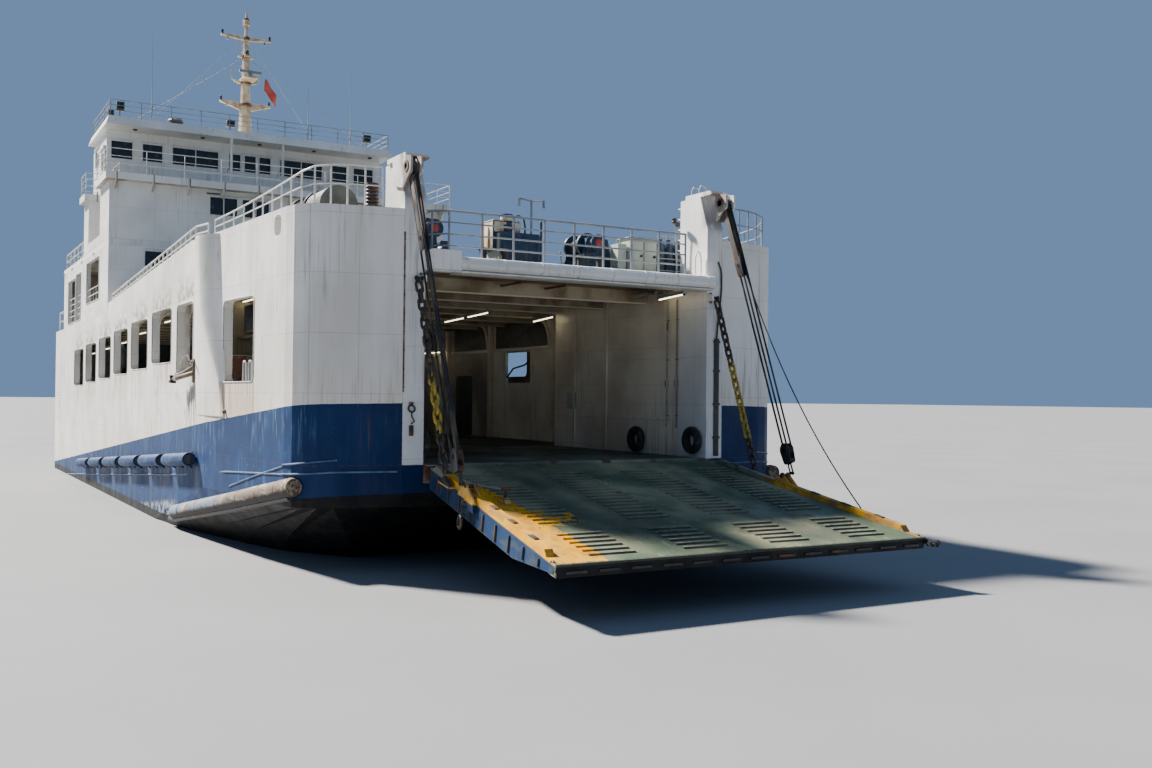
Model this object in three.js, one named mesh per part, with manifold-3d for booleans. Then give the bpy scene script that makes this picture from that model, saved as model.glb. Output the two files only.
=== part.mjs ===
// Ro-ro ferry with a lowered bow ramp, as a 1:2 scale model.
// Lengths below are the full-size ship's, in metres. M turns them into millimetres of the model.
// Axes: X forward, Y to port, Z up. Origin amidships, on the centreline, at the waterline.
import * as THREE from 'three';
import { mergeVertices } from 'three/addons/utils/BufferGeometryUtils.js';
import Module from 'manifold-3d';

const wasm = await Module();
wasm.setup();

const M = 500;
const GAP = 0.0006;
const DEG = Math.PI / 180;

// Driving dimensions of the hull
const BOW_X = 19.5;
const STERN_X = -19.5;
const DECK_Z = 2.2;
const KEEL_Z = -2.1;
const SIDE_HALF = 6.6;
const BOW_HALF = 6.18;
const SHOULDER_X = 12.9;
const FRONT_SWEEP = 0.2015;
const CORNER_RUN = 0.72;
const CORNER_STEPS = 4;
const STERN_CHAMFER = 0.7;
const CHIN_Z = 1.35;
const COUNTER_Z = -0.3;
const COUNTER_SLOPE = 0.002;

// Bow opening, pylons and decks
const OPEN_HALF = 3.64;
const PYLON_OUT = 4.11;
const PYLON_BACK_X = 18.35;
const PYLON_TOP_Z = 8.62;
const HEADER_Z = 6.24;
const UPPER_Z = 6.55;
const SLAB = 0.16;
const WALL = 0.22;
const WING_TOP_Z = 7.48;
const BULWARK_FRONT_X = 11.2;
const BULWARK_FRONT_Z = 7.56;
const BULWARK_AFT_X = -2.5;
const BULWARK_AFT_Z = 6.88;
const CASING_X = 12.0;

// Superstructure
const HOUSE_X = -2.8;
const HOUSE_AFT_X = -15.8;
const BOAT_DECK_Z = 9.05;
const BOAT_SLAB = 0.2;
const CREW_HALF = 5.45;
const CREW_AFT_X = -12.4;
const BAY_FRONT_X = -5.0;
const BAY_AFT_X = -8.1;
const BAY_SILL_Z = 9.62;
const WING_AFT_X = -9.4;
const BRIDGE_Z = 11.38;
const BRIDGE_SLAB = 0.26;
const BRIDGE_HALF = 6.78;
const BRIDGE_FRONT_X = -2.4;
const BRIDGE_AFT_X = -12.6;
const BRIDGE_INNER = 5.97;
const CABIN_WALL = 0.15;
const WHEEL_X = -8.6;
const WHEEL_AFT_X = -12.2;
const WHEEL_HALF = 5.9;
const WHEEL_SILL_Z = 11.78;
const DOOR_FRONT_X = -8.8;
const DOOR_AFT_X = -9.42;
const DOOR_TOP_Z = 13.7;
const DOOR_THICK = 0.05;
const DOOR_RUN = 0.012;
const DOOR_LAP = 0.06;
const DOOR_SLIDE = 0.72;
const ROOF_FRONT_X = -7.4;
const ROOF_AFT_X = -12.5;
const ROOF_HALF = 6.1;
const ROOF_CANT = 0.12;
const ROOF_Z = 14.46;
const ROOF_TOP_Z = 14.82;
const PILLAR_Y = 1.1;
const MAST_X = -9.7;
const RADAR_FORWARD = 0.8;
const RADAR_Z = 17.6;

// Bow ramp: hinge line, rest angle below the horizontal, plate size
const HINGE_X = 19.72;
const HINGE_Z = 2.12;
const RAMP_ANGLE = 11;
const RAMP_LENGTH = 6.3;
const RAMP_HALF_ROOT = 3.62;
const RAMP_HALF_TIP = 4.1;
const KNUCKLE_R = 0.11;
const FALL_Y = 4.02;
const HEAD_X = 19.68;
const HEAD_Z = 8.32;
const FALL_ANGLE = 21.5;
const CHAIN_Y = 3.84;
const CHAIN_X = 19.6;
const CHAIN_Z = 6.05;
const CHAIN_ANGLE = 20.5;
const LANDING_DROP = 0.22;

const COLOURS = {
  white: [0xe6e4dc, 0.55, 0.0],
  cream: [0xd8d0ba, 0.65, 0.0],
  blue: [0x1c4a86, 0.45, 0.0],
  grey: [0x6d7d8c, 0.5, 0.2],
  green: [0x4d6357, 0.8, 0.0],
  machine: [0x233c5f, 0.5, 0.2],
  cabinet: [0xa9b8a6, 0.6, 0.0],
  dark: [0x2b2a28, 0.6, 0.4],
  bronze: [0xa8823f, 0.35, 0.9],
  yellow: [0xc99a2b, 0.6, 0.1],
};

const ship = new THREE.Group();
ship.scale.setScalar(M);

// Solids as manifolds, so that they can be joined and cut
function solid(geometry) {
  const bare = geometry.index ? geometry.toNonIndexed() : geometry.clone();
  bare.deleteAttribute('normal');
  bare.deleteAttribute('uv');
  const merged = mergeVertices(bare, 1e-5);
  const mesh = new wasm.Mesh({
    numProp: 3,
    vertProperties: new Float32Array(merged.attributes.position.array),
    triVerts: new Uint32Array(merged.index.array),
  });
  return new wasm.Manifold(mesh);
}

function join(...solids) {
  return solids.flat().reduce((total, next) => total.add(next));
}

function cut(base, ...tools) {
  return tools.flat().reduce((total, tool) => total.subtract(tool), base);
}

// A piece trimmed to stand a hair off another solid, on the sides that the shifts point to
function clearOf(piece, other, shifts) {
  return cut(piece, shifts.map((shift) => other.translate(shift.map((value) => value * 1.5 * GAP))));
}

function geometryOf(manifold) {
  const mesh = manifold.getMesh();
  const geometry = new THREE.BufferGeometry();
  geometry.setAttribute('position', new THREE.BufferAttribute(mesh.vertProperties, 3));
  geometry.setIndex(new THREE.BufferAttribute(mesh.triVerts, 1));
  return geometry;
}

function mirrored(manifold) {
  const geometry = geometryOf(manifold);
  const position = geometry.attributes.position;
  for (let i = 0; i < position.count; i += 1) position.setY(i, -position.getY(i));
  const index = geometry.index.array;
  for (let i = 0; i < index.length; i += 3) {
    [index[i], index[i + 1]] = [index[i + 1], index[i]];
  }
  return solid(geometry);
}

function put(name, manifold, colour, place = {}) {
  const [color, roughness, metalness] = COLOURS[colour];
  const material = new THREE.MeshStandardMaterial({ color, roughness, metalness });
  const mesh = new THREE.Mesh(geometryOf(manifold), material);
  mesh.name = name;
  mesh.position.set(place.x ?? 0, place.y ?? 0, place.z ?? 0);
  mesh.rotation.y = place.turnY ?? 0;
  ship.add(mesh);
}

// Both sides of the ship from the port piece; a place is mirrored too
function putPair(name, manifold, colour, place = {}) {
  put(`${name}_port`, manifold, colour, place);
  put(`${name}_stbd`, mirrored(manifold), colour, { ...place, y: -(place.y ?? 0) });
}

function box(x0, x1, y0, y1, z0, z1) {
  const geometry = new THREE.BoxGeometry(x1 - x0, y1 - y0, z1 - z0);
  geometry.translate((x0 + x1) / 2, (y0 + y1) / 2, (z0 + z1) / 2);
  return solid(geometry);
}

function shapeOf(points) {
  return new THREE.Shape(points.map(([a, b]) => new THREE.Vector2(a, b)));
}

// A plan outline (x, y) raised from z0 to z1
function plan(points, z0, z1) {
  const geometry = new THREE.ExtrudeGeometry(shapeOf(points), { depth: z1 - z0, bevelEnabled: false });
  geometry.translate(0, 0, z0);
  return solid(geometry);
}

const SIDE_VIEW = new THREE.Matrix4().makeBasis(
  new THREE.Vector3(1, 0, 0), new THREE.Vector3(0, 0, 1), new THREE.Vector3(0, -1, 0));
const FRONT_VIEW = new THREE.Matrix4().makeBasis(
  new THREE.Vector3(0, 1, 0), new THREE.Vector3(0, 0, 1), new THREE.Vector3(1, 0, 0));

// A side outline (x, z) as wide as y0 to y1
function profile(points, y0, y1) {
  const geometry = new THREE.ExtrudeGeometry(shapeOf(points), { depth: y1 - y0, bevelEnabled: false });
  geometry.applyMatrix4(SIDE_VIEW);
  geometry.translate(0, y1, 0);
  return solid(geometry);
}

// A front outline (y, z) as long as x0 to x1
function section(points, x0, x1) {
  const geometry = new THREE.ExtrudeGeometry(shapeOf(points), { depth: x1 - x0, bevelEnabled: false });
  geometry.applyMatrix4(FRONT_VIEW);
  geometry.translate(x0, 0, 0);
  return solid(geometry);
}

// A round bar between two points
function rod(from, to, radius, sides = 6, radiusTo = radius) {
  const a = new THREE.Vector3(...from);
  const b = new THREE.Vector3(...to);
  const along = b.clone().sub(a);
  const geometry = new THREE.CylinderGeometry(radiusTo, radius, along.length(), sides);
  const turn = new THREE.Quaternion().setFromUnitVectors(new THREE.Vector3(0, 1, 0), along.normalize());
  geometry.applyQuaternion(turn);
  geometry.translate((a.x + b.x) / 2, (a.y + b.y) / 2, (a.z + b.z) / 2);
  return solid(geometry);
}

// A rectangle with cut corners, as points (a, b)
function roundedRect(a0, a1, b0, b1, r) {
  const bend = r * 0.3;
  return [
    [a0 + r, b0], [a1 - r, b0], [a1 - bend, b0 + bend], [a1, b0 + r],
    [a1, b1 - r], [a1 - bend, b1 - bend], [a1 - r, b1],
    [a0 + r, b1], [a0 + bend, b1 - bend], [a0, b1 - r],
    [a0, b0 + r], [a0 + bend, b0 + bend],
  ];
}

// Ship's side in plan, from the pylon round the bow corner to the stern
const CORNER_X = BOW_X - FRONT_SWEEP * (BOW_HALF - PYLON_OUT);

function bowCorner(half = BOW_HALF, x = CORNER_X) {
  const sideSlope = (SIDE_HALF - BOW_HALF) / (CORNER_X - SHOULDER_X);
  const start = new THREE.Vector2(x + FRONT_SWEEP * CORNER_RUN, half - CORNER_RUN);
  const end = new THREE.Vector2(x - CORNER_RUN, half + sideSlope * CORNER_RUN);
  const curve = new THREE.QuadraticBezierCurve(start, new THREE.Vector2(x, half), end);
  return curve.getPoints(CORNER_STEPS).map((p) => [p.x, p.y]);
}

// The line moved inboard; its first point stays abreast of the first point given
function inboard(points, distance) {
  const moved = points.map((point, i) => {
    const before = points[Math.max(i - 1, 0)];
    const after = points[Math.min(i + 1, points.length - 1)];
    const along = new THREE.Vector2(after[0] - before[0], after[1] - before[1]).normalize();
    return [point[0] - along.y * distance, point[1] + along.x * distance];
  });
  const [[x, y]] = moved;
  const startY = points[0][1];
  if (startY < BOW_HALF) moved[0] = [x - FRONT_SWEEP * (startY - y), startY];
  return moved;
}

// Hull: plan outlines at a few levels. Columns: z, stem x, stem half-breadth, chine x,
// chine half-breadth, side half-breadth, stern x, stern half-breadth
const HULL_LEVELS = [
  [KEEL_Z, 12.2, 2.6, 4.0, 5.3, 5.6, -10.0, 5.0],
  [-1.5, 13.6, 3.2, 5.0, 6.1, 6.3, -12.3, 5.6],
  [-0.8, 15.2, 3.7, 6.4, 6.35, 6.5, -14.6, 6.0],
  [COUNTER_Z - COUNTER_SLOPE, 16.3, 4.0, 7.4, 6.45, SIDE_HALF, -15.7, 6.2],
  [COUNTER_Z, 16.3, 4.0, 7.4, 6.45, SIDE_HALF, STERN_X + 0.3, 6.2],
  [0.45, 17.8, 4.6, 10.0, 6.56, SIDE_HALF, STERN_X, SIDE_HALF - STERN_CHAMFER],
  [CHIN_Z, BOW_X, PYLON_OUT, null, null, SIDE_HALF, STERN_X, SIDE_HALF - STERN_CHAMFER],
  [DECK_Z, BOW_X, PYLON_OUT, null, null, SIDE_HALF, STERN_X, SIDE_HALF - STERN_CHAMFER],
];

function hullOutline([, stemX, stemHalf, chineX, chineHalf, sideHalf, sternX, sternHalf]) {
  const corner = bowCorner();
  const flare = corner.map((point, i) => {
    if (chineX === null) return point;
    const t = (i + 1) / corner.length;
    return [stemX + (chineX - stemX) * t, stemHalf + (chineHalf - stemHalf) * Math.sqrt(t)];
  });
  const shoulder = chineX === null ? SHOULDER_X : Math.min(SHOULDER_X, chineX - 1.5);
  return [
    [stemX, stemHalf], ...flare, [shoulder, sideHalf], [0, sideHalf],
    [sternX + STERN_CHAMFER, sideHalf], [sternX, sternHalf],
  ];
}

function hull() {
  const rings = HULL_LEVELS.map((level) => {
    const port = hullOutline(level);
    const stbd = port.map(([x, y]) => [x, -y]).reverse();
    return { z: level[0], points: [...port, ...stbd] };
  });
  const count = rings[0].points.length;
  const positions = [];
  for (const ring of rings) {
    for (const [x, y] of ring.points) positions.push(x, y, ring.z);
  }
  const index = [];
  for (let level = 0; level < rings.length - 1; level += 1) {
    for (let i = 0; i < count; i += 1) {
      const a = level * count + i;
      const b = level * count + ((i + 1) % count);
      index.push(a, b, b + count, a, b + count, a + count);
    }
  }
  addCap(index, rings[0].points, 0, false);
  addCap(index, rings.at(-1).points, (rings.length - 1) * count, true);
  const geometry = new THREE.BufferGeometry();
  geometry.setAttribute('position', new THREE.Float32BufferAttribute(positions, 3));
  geometry.setIndex(index);
  return evenSides(solid(geometry));
}

// Both halves alike: the port half and its mirror image
function evenSides(manifold) {
  const portHalf = manifold.intersect(box(-30, 30, 0, 10, -10, 20));
  return join(portHalf, mirrored(portHalf));
}

function addCap(index, points, first, up) {
  const contour = points.map(([x, y]) => new THREE.Vector2(x, y));
  for (const [a, b, c] of THREE.ShapeUtils.triangulateShape(contour, [])) {
    const area = (contour[b].x - contour[a].x) * (contour[c].y - contour[a].y)
      - (contour[b].y - contour[a].y) * (contour[c].x - contour[a].x);
    const flip = (area > 0) !== up;
    index.push(first + a, first + (flip ? c : b), first + (flip ? b : c));
  }
}

// Shell above the car deck, as the ship's side in plan cut by its side view
const SIDE_LINE = [[BOW_X, PYLON_OUT + GAP], ...bowCorner(), [SHOULDER_X, SIDE_HALF]];

function shellStrip(line, z0, z1) {
  return plan([...line, ...inboard(line, WALL).reverse()], z0, z1);
}

// Car deck openings in the side. Columns: front x, length, lower edge z, upper edge z
const OPENING_PITCH = 3.55;
const OPENING_LENGTH = 2.84;
const SHEER = 0.031;
const OPENING_FRONT_X = 8.77;
const SIDE_OPENINGS = [
  [11.51, 2.0, 4.15, 6.0],
  ...[0, 1, 2, 3, 4, 5].map((n) => [
    OPENING_FRONT_X - n * OPENING_PITCH, OPENING_LENGTH,
    4.48 - SHEER * n * OPENING_PITCH, 6.01 - SHEER * n * OPENING_PITCH,
  ]),
];
const WING_OPENING = [16.45, 2.16, 3.9, 5.8];
const WING_SLOT = [17.65, 18.05, 6.94, 7.36];

function sideHole([frontX, length, z0, z1], y0, y1) {
  return profile(roundedRect(frontX - length, frontX, z0, z1, 0.16), y0, y1);
}

function bowWing() {
  const strip = shellStrip(SIDE_LINE, DECK_Z + GAP, WING_TOP_Z)
    .intersect(box(SHOULDER_X, BOW_X, 3, 7, 0, 9));
  const slot = profile(roundedRect(...WING_SLOT, 0.12), 5.9, 7);
  return cut(strip, sideHole(WING_OPENING, 5.5, 7), slot);
}

function sideWall() {
  const line = [[SHOULDER_X - GAP, SIDE_HALF], [STERN_X + STERN_CHAMFER, SIDE_HALF],
    [STERN_X, SIDE_HALF - STERN_CHAMFER]];
  const strip = shellStrip(line, DECK_Z + GAP, WING_TOP_Z + 1);
  const side = profile([
    [STERN_X - 1, DECK_Z - 1], [SHOULDER_X, DECK_Z - 1], [SHOULDER_X, WING_TOP_Z],
    [BULWARK_FRONT_X, BULWARK_FRONT_Z], [BULWARK_AFT_X, BULWARK_AFT_Z],
    [HOUSE_X + 0.1, BULWARK_AFT_Z - 0.02], [HOUSE_X + 0.02, UPPER_Z], [STERN_X - 1, UPPER_Z],
  ], 5, 7);
  return cut(strip.intersect(side), SIDE_OPENINGS.map((hole) => sideHole(hole, 5.5, 7)));
}

function casing() {
  const inner = OPEN_HALF + 0.08;
  return box(CASING_X, PYLON_BACK_X - GAP, inner, inner + 0.2, DECK_Z + GAP, UPPER_Z - SLAB - GAP);
}

// Pylon beside the bow opening, with the cheeks that carry the head sheave
const CHEEK_THICK = 0.05;
const CHEEK_CLEAR = 0.09;

function pylon() {
  const shoulderZ = PYLON_TOP_Z - 0.1;
  const trunk = profile([
    [PYLON_BACK_X, DECK_Z + GAP], [BOW_X, DECK_Z + GAP], [BOW_X, 7.7], [19.2, shoulderZ],
    [PYLON_BACK_X + 0.05, shoulderZ],
  ], OPEN_HALF, PYLON_OUT);
  const cheek = [[19.0, 8.0], [19.5, 7.9], [19.9, 8.2], [19.9, 8.5], [19.6, PYLON_TOP_Z - 0.06],
    [18.9, PYLON_TOP_Z - 0.06]];
  const outside = CHEEK_CLEAR + CHEEK_THICK;
  const inner = profile(cheek, FALL_Y - outside, FALL_Y - CHEEK_CLEAR);
  const outer = profile(cheek, FALL_Y + CHEEK_CLEAR, FALL_Y + outside);
  const hood = profile([[18.6, PYLON_TOP_Z], [18.6, shoulderZ], [19.62, shoulderZ], [19.66, 8.55],
    [19.58, PYLON_TOP_Z]], OPEN_HALF, FALL_Y + outside);
  const eye = profile([[BOW_X - 0.02, CHAIN_Z - 0.1], [CHAIN_X + 0.06, CHAIN_Z - 0.07],
    [CHAIN_X + 0.06, CHAIN_Z + 0.07], [BOW_X - 0.02, CHAIN_Z + 0.1]], CHAIN_Y - 0.17, CHAIN_Y - 0.11);
  return join(trunk, inner, outer, hood, eye);
}

// Web over the opening with a tube along its front and a flat plate at the starboard end
function headerBeam() {
  const tubeX = 19.67;
  const tubeZ = 6.4;
  const web = box(19.2, BOW_X + 0.06, -OPEN_HALF + GAP, OPEN_HALF - GAP, HEADER_Z, UPPER_Z);
  const tube = rod([tubeX, -3.0, tubeZ], [tubeX, 3.7, tubeZ], 0.155, 12);
  const plate = box(BOW_X + 0.02, tubeX + 0.155, -3.6, -2.96, HEADER_Z, UPPER_Z + 0.11);
  return join(web, tube, plate);
}

function upperDeck() {
  const inside = WALL + GAP;
  const sideInner = SIDE_HALF - inside;
  const port = [
    [19.2 - GAP, OPEN_HALF - GAP], [PYLON_BACK_X - GAP, OPEN_HALF - GAP],
    [PYLON_BACK_X - GAP, PYLON_OUT + GAP], ...inboard(SIDE_LINE, inside),
    [STERN_X + STERN_CHAMFER + 0.12, sideInner], [STERN_X + 0.25, sideInner - STERN_CHAMFER + 0.1],
  ];
  const outline = [...port, ...port.map(([x, y]) => [x, -y]).reverse()];
  const slab = plan(outline, UPPER_Z - SLAB, UPPER_Z);
  const beams = [];
  for (let x = 16.9; x > STERN_X + 1; x -= 2.15) {
    const half = x > CASING_X ? OPEN_HALF - 0.02 : sideInner - 0.05;
    beams.push(box(x - 0.07, x + 0.07, -half, half, UPPER_Z - 0.5, UPPER_Z - SLAB + 0.02));
  }
  return join(slab, beams);
}

// Stern portal: two side panels and a lintel round the stern opening
function sternFrame() {
  const half = SIDE_HALF - STERN_CHAMFER - 0.02;
  const frame = box(STERN_X + GAP, STERN_X + 0.25 - GAP, -half, half, DECK_Z + GAP, UPPER_Z);
  const opening = section(
    roundedRect(-OPEN_HALF, OPEN_HALF, DECK_Z - 0.5, HEADER_Z, 0.3), STERN_X - 1, STERN_X + 1);
  return evenSides(clearOf(cut(frame, opening), sideWall(), [[0, -1, 0], [1, 0, 0]]));
}

// A ring of walls with holes. Columns of a hole: wall, from, to, z0, z1
function walls(x0, x1, half, z0, z1, thick, holes) {
  const outer = box(x0, x1, -half, half, z0, z1);
  const inner = box(x0 + thick, x1 - thick, -half + thick, half - thick, z0 - 1, z1 + 1);
  const cutters = holes.map(([face, a0, a1, b0, b1]) => {
    const outline = [[a0, b0], [a1, b0], [a1, b1], [a0, b1]];
    if (face === 'front') return section(outline, x1 - thick * 2, x1 + 1);
    if (face === 'aft') return section(outline, x0 - 1, x0 + thick * 2);
    if (face === 'port') return profile(outline, half - thick * 2, half + 1);
    if (face === 'stbd') return profile(outline, -half - 1, -half + thick * 2);
    return profile(outline, -half - 1, half + 1);
  });
  return cut(cut(outer, inner), cutters);
}

const HOUSE_HOLES = [
  ['both', -8.37, -4.98, 7.2, 8.84],
  ['both', -11.55, -10.05, 6.68, 8.68],
  ['both', -14.23, -11.8, 6.68, 8.58],
  ['front', -5.35, -4.37, 8.31, 8.9],
  ['front', 4.37, 5.35, 8.31, 8.9],
  ['aft', -1.2, 1.2, 6.7, 8.75],
];

// Crew house: a full-width front block, a narrow middle and short wings, with an open bay between them
const CREW_WINDOWS = [[-3.03, -1.98], [-1.81, -0.76], [0.76, 1.81], [1.98, 3.03]];
const CREW_WINDOW_Z = [10.43, 11.13];

function crewBlocks(inset, z0, z1) {
  const blocks = [
    [CREW_AFT_X, HOUSE_X, CREW_HALF], [BAY_FRONT_X, HOUSE_X, SIDE_HALF], [WING_AFT_X, BAY_AFT_X, SIDE_HALF],
  ];
  return join(blocks.map(([x0, x1, half]) => (
    box(x0 + inset, x1 - inset, -half + inset, half - inset, z0, z1))));
}

function crewHouse() {
  const base = BOAT_DECK_Z + BOAT_SLAB + GAP;
  const shell = cut(crewBlocks(0, base, BRIDGE_Z - GAP), crewBlocks(CABIN_WALL, base - 1, BRIDGE_Z + 1));
  const sills = [-1, 1].map((side) => {
    const [y0, y1] = [side * SIDE_HALF, side * (SIDE_HALF - CABIN_WALL)].sort((a, b) => a - b);
    return box(BAY_AFT_X - 0.05, BAY_FRONT_X + 0.05, y0, y1, base, BAY_SILL_Z);
  });
  const windows = CREW_WINDOWS.map(([y0, y1]) => (
    box(HOUSE_X - 0.5, HOUSE_X + 0.5, y0, y1, ...CREW_WINDOW_Z)));
  const doorways = [-4.6, 3.8].map((y) => box(CREW_AFT_X - 0.5, CREW_AFT_X + 0.5, y, y + 0.8, 9.35, 11.1));
  return cut(join(shell, sills), windows, doorways);
}

// Wheelhouse windows in the front wall. Columns: y0, y1
const WHEEL_WINDOWS = [[-5.73, -4.87], [-4.5, -3.68], [-3.3, -1.38], [-0.96, -0.44], [-0.29, 0.22],
  [0.35, 0.87], [1.27, 3.2], [3.55, 4.35], [4.65, 5.6]];
const WINDOW_Z = [13.3, 14.05];

function wheelhouse() {
  const holes = [
    ...WHEEL_WINDOWS.map(([y0, y1]) => ['front', y0, y1, ...WINDOW_Z]),
    ['both', -11.7, -10.6, ...WINDOW_Z],
    ['both', DOOR_AFT_X, DOOR_FRONT_X, WHEEL_SILL_Z, DOOR_TOP_Z],
    ['aft', -4.6, -3.0, ...WINDOW_Z], ['aft', -0.8, 0.8, ...WINDOW_Z], ['aft', 3.0, 4.6, ...WINDOW_Z],
  ];
  const base = BRIDGE_Z + BRIDGE_SLAB + GAP;
  const shell = walls(WHEEL_AFT_X, WHEEL_X, WHEEL_HALF, base, ROOF_Z - GAP, CABIN_WALL, holes);
  return join(shell, [-1, 1].map(doorRunner));
}

// Rail with a lip over the side doorway; the sliding leaf hangs behind the lip
const RUNNER_DEEP = DOOR_THICK + 2 * DOOR_RUN;

function doorRunner(side) {
  const inside = WHEEL_HALF + RUNNER_DEEP;
  const outside = inside + 0.04;
  const [top, under, lip] = [0.12, 0.08, 0.02].map((height) => DOOR_TOP_Z + height);
  const outline = [[WHEEL_HALF - 0.02, under], [inside, under], [inside, lip], [outside, lip], [outside, top],
    [WHEEL_HALF - 0.02, top]];
  const bar = section(outline, DOOR_AFT_X - DOOR_SLIDE - 0.1, DOOR_FRONT_X + 0.1);
  return side > 0 ? bar : mirrored(bar);
}

// Door leaf in its own frame: its front lower corner on the wall's outer face
function wheelDoor() {
  const length = DOOR_FRONT_X - DOOR_AFT_X + 2 * DOOR_LAP;
  const top = DOOR_TOP_Z + 0.08 - GAP - WHEEL_SILL_Z;
  const leaf = box(-length, 0, DOOR_RUN, DOOR_RUN + DOOR_THICK, -DOOR_LAP, top);
  const window = box(-length + 0.17, -0.17, -1, 1, 1.12, 1.72);
  return cut(leaf, window);
}

// Roof with a canted fascia: wider at its lower edge
function roofSlab() {
  const low = ROOF_Z;
  const side = profile([[ROOF_AFT_X, low], [ROOF_FRONT_X, low], [ROOF_FRONT_X - ROOF_CANT, ROOF_TOP_Z],
    [ROOF_AFT_X + ROOF_CANT, ROOF_TOP_Z]], -ROOF_HALF, ROOF_HALF);
  const front = section([[-ROOF_HALF, low], [ROOF_HALF, low], [ROOF_HALF - ROOF_CANT, ROOF_TOP_Z],
    [-ROOF_HALF + ROOF_CANT, ROOF_TOP_Z]], ROOF_AFT_X, ROOF_FRONT_X);
  return side.intersect(front);
}

// Bridge deck, wide at its front and at its two wings, with knees below and pillars to the roof
const BRIDGE_TOP_Z = BRIDGE_Z + BRIDGE_SLAB;

function bridgeDeck() {
  const [bayFront, bayAft, wingAft] = [BAY_FRONT_X - 0.1, BAY_AFT_X + 0.1, WING_AFT_X - 0.05];
  const port = [
    [BRIDGE_FRONT_X, BRIDGE_HALF], [bayFront, BRIDGE_HALF], [bayFront, BRIDGE_INNER], [bayAft, BRIDGE_INNER],
    [bayAft, BRIDGE_HALF], [wingAft, BRIDGE_HALF], [wingAft, BRIDGE_INNER], [BRIDGE_AFT_X, BRIDGE_INNER],
  ];
  const slab = plan([...port, ...port.map(([x, y]) => [x, -y]).reverse()], BRIDGE_Z, BRIDGE_TOP_Z);
  const [kneeBack, kneeFront] = [HOUSE_X + 0.01, BRIDGE_FRONT_X - 0.04];
  const knee = [[kneeBack, BRIDGE_Z - 0.32], [kneeBack + 0.06, BRIDGE_Z - 0.32], [kneeFront, BRIDGE_Z - 0.02],
    [kneeFront, BRIDGE_Z + 0.02], [kneeBack, BRIDGE_Z + 0.02]];
  const knees = spread([-6.4], [6.4], 10).map(([y]) => profile(knee, y - 0.03, y + 0.03));
  const pillarX = ROOF_FRONT_X - 0.15;
  const pillars = [-PILLAR_Y, PILLAR_Y].map((y) => (
    rod([pillarX, y, BRIDGE_TOP_Z - 0.05], [pillarX, y, ROOF_Z - GAP], 0.06)));
  return join(slab, knees, pillars);
}

// A handrail on posts. Feet columns: x, y, z, height. Rails run at fractions of that height
const POST = 0.05;
const RAIL_R = 0.02;

function railing(feet, fractions) {
  const half = POST / 2;
  const parts = feet.map(([x, y, z, height]) => (
    box(x - half, x + half, y - half, y + half, z + GAP, z + height + RAIL_R)));
  for (let i = 1; i < feet.length; i += 1) {
    for (const fraction of fractions) {
      const ends = [feet[i - 1], feet[i]].map(([x, y, z, height]) => [x, y, z + height * fraction]);
      parts.push(rod(...ends, RAIL_R, 4));
    }
  }
  return join(parts);
}

function spread(from, to, count) {
  const points = [];
  for (let i = 0; i <= count; i += 1) {
    points.push(from.map((value, axis) => value + (to[axis] - value) * (i / count)));
  }
  return points;
}

// Crosstree: an arm both ways that deepens towards the mast. Columns of the table: z, reach, depth
const CROSSTREES = [[16.6, 1.12, 0.38], [17.58, 0.52, 0.16], [18.68, 0.34, 0.08], [19.55, 1.1, 0.16]];

function crosstree([z, reach, depth]) {
  const tip = z - 0.06;
  const root = z - depth;
  const outline = [[-reach, z], [-reach, tip], [-0.1, root], [0.1, root], [reach, tip], [reach, z]];
  return section(outline, MAST_X - 0.08, MAST_X + 0.08);
}

// Mast stages. Columns: z from, z to, radius from, radius to
const MAST_STAGES = [[ROOF_TOP_Z + GAP, 17.3, 0.33, 0.2], [17.25, 19.6, 0.2, 0.12], [19.5, 20.12, 0.09, 0.08],
  [20.08, 20.3, 0.17, 0.17], [20.25, 20.65, 0.08, 0.04]];

function mast() {
  const stages = MAST_STAGES.map(([z0, z1, r0, r1]) => rod([MAST_X, 0, z0], [MAST_X, 0, z1], r0, 8, r1));
  const radarShelf = box(MAST_X - 0.35, MAST_X + RADAR_FORWARD + 0.15, -0.3, 0.3, RADAR_Z - 0.08, RADAR_Z);
  return join(stages, CROSSTREES.map(crosstree), radarShelf);
}

function radar() {
  return join(rod([0, 0, 0], [0, 0, 0.16], 0.09, 8), box(-0.06, 0.06, -0.48, 0.48, 0.14, 0.26));
}

function funnel() {
  const casingPart = box(-15.2, -13.9, 3.2, 4.6, BOAT_DECK_Z + BOAT_SLAB + GAP, 12.2);
  const pipe = rod([-14.5, 3.9, 12.1], [-14.6, 3.9, 12.8], 0.25, 8);
  return join(casingPart, pipe);
}

function diagonalFender() {
  const roll = join(
    rod([19.0, 6.2, 1.78], [15.3, 6.45, 1.22], 0.2, 8),
    rod([15.32, 6.45, 1.22], [9.7, 6.6, 0.46], 0.2, 8),
  );
  return clearOf(roll, shipHull, [[0, 1, 0], [1, 0, 0], [0, 0, -1]]);
}

// Six short tubes along the side, on one narrow doubling strake
const TUBE_COUNT = 6;
const TUBE_PITCH = 3.5;
const TUBE_LENGTH = 2.75;
const TUBE_FRONT_X = 12.2;
const TUBE_DROP = 0.058;

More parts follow.
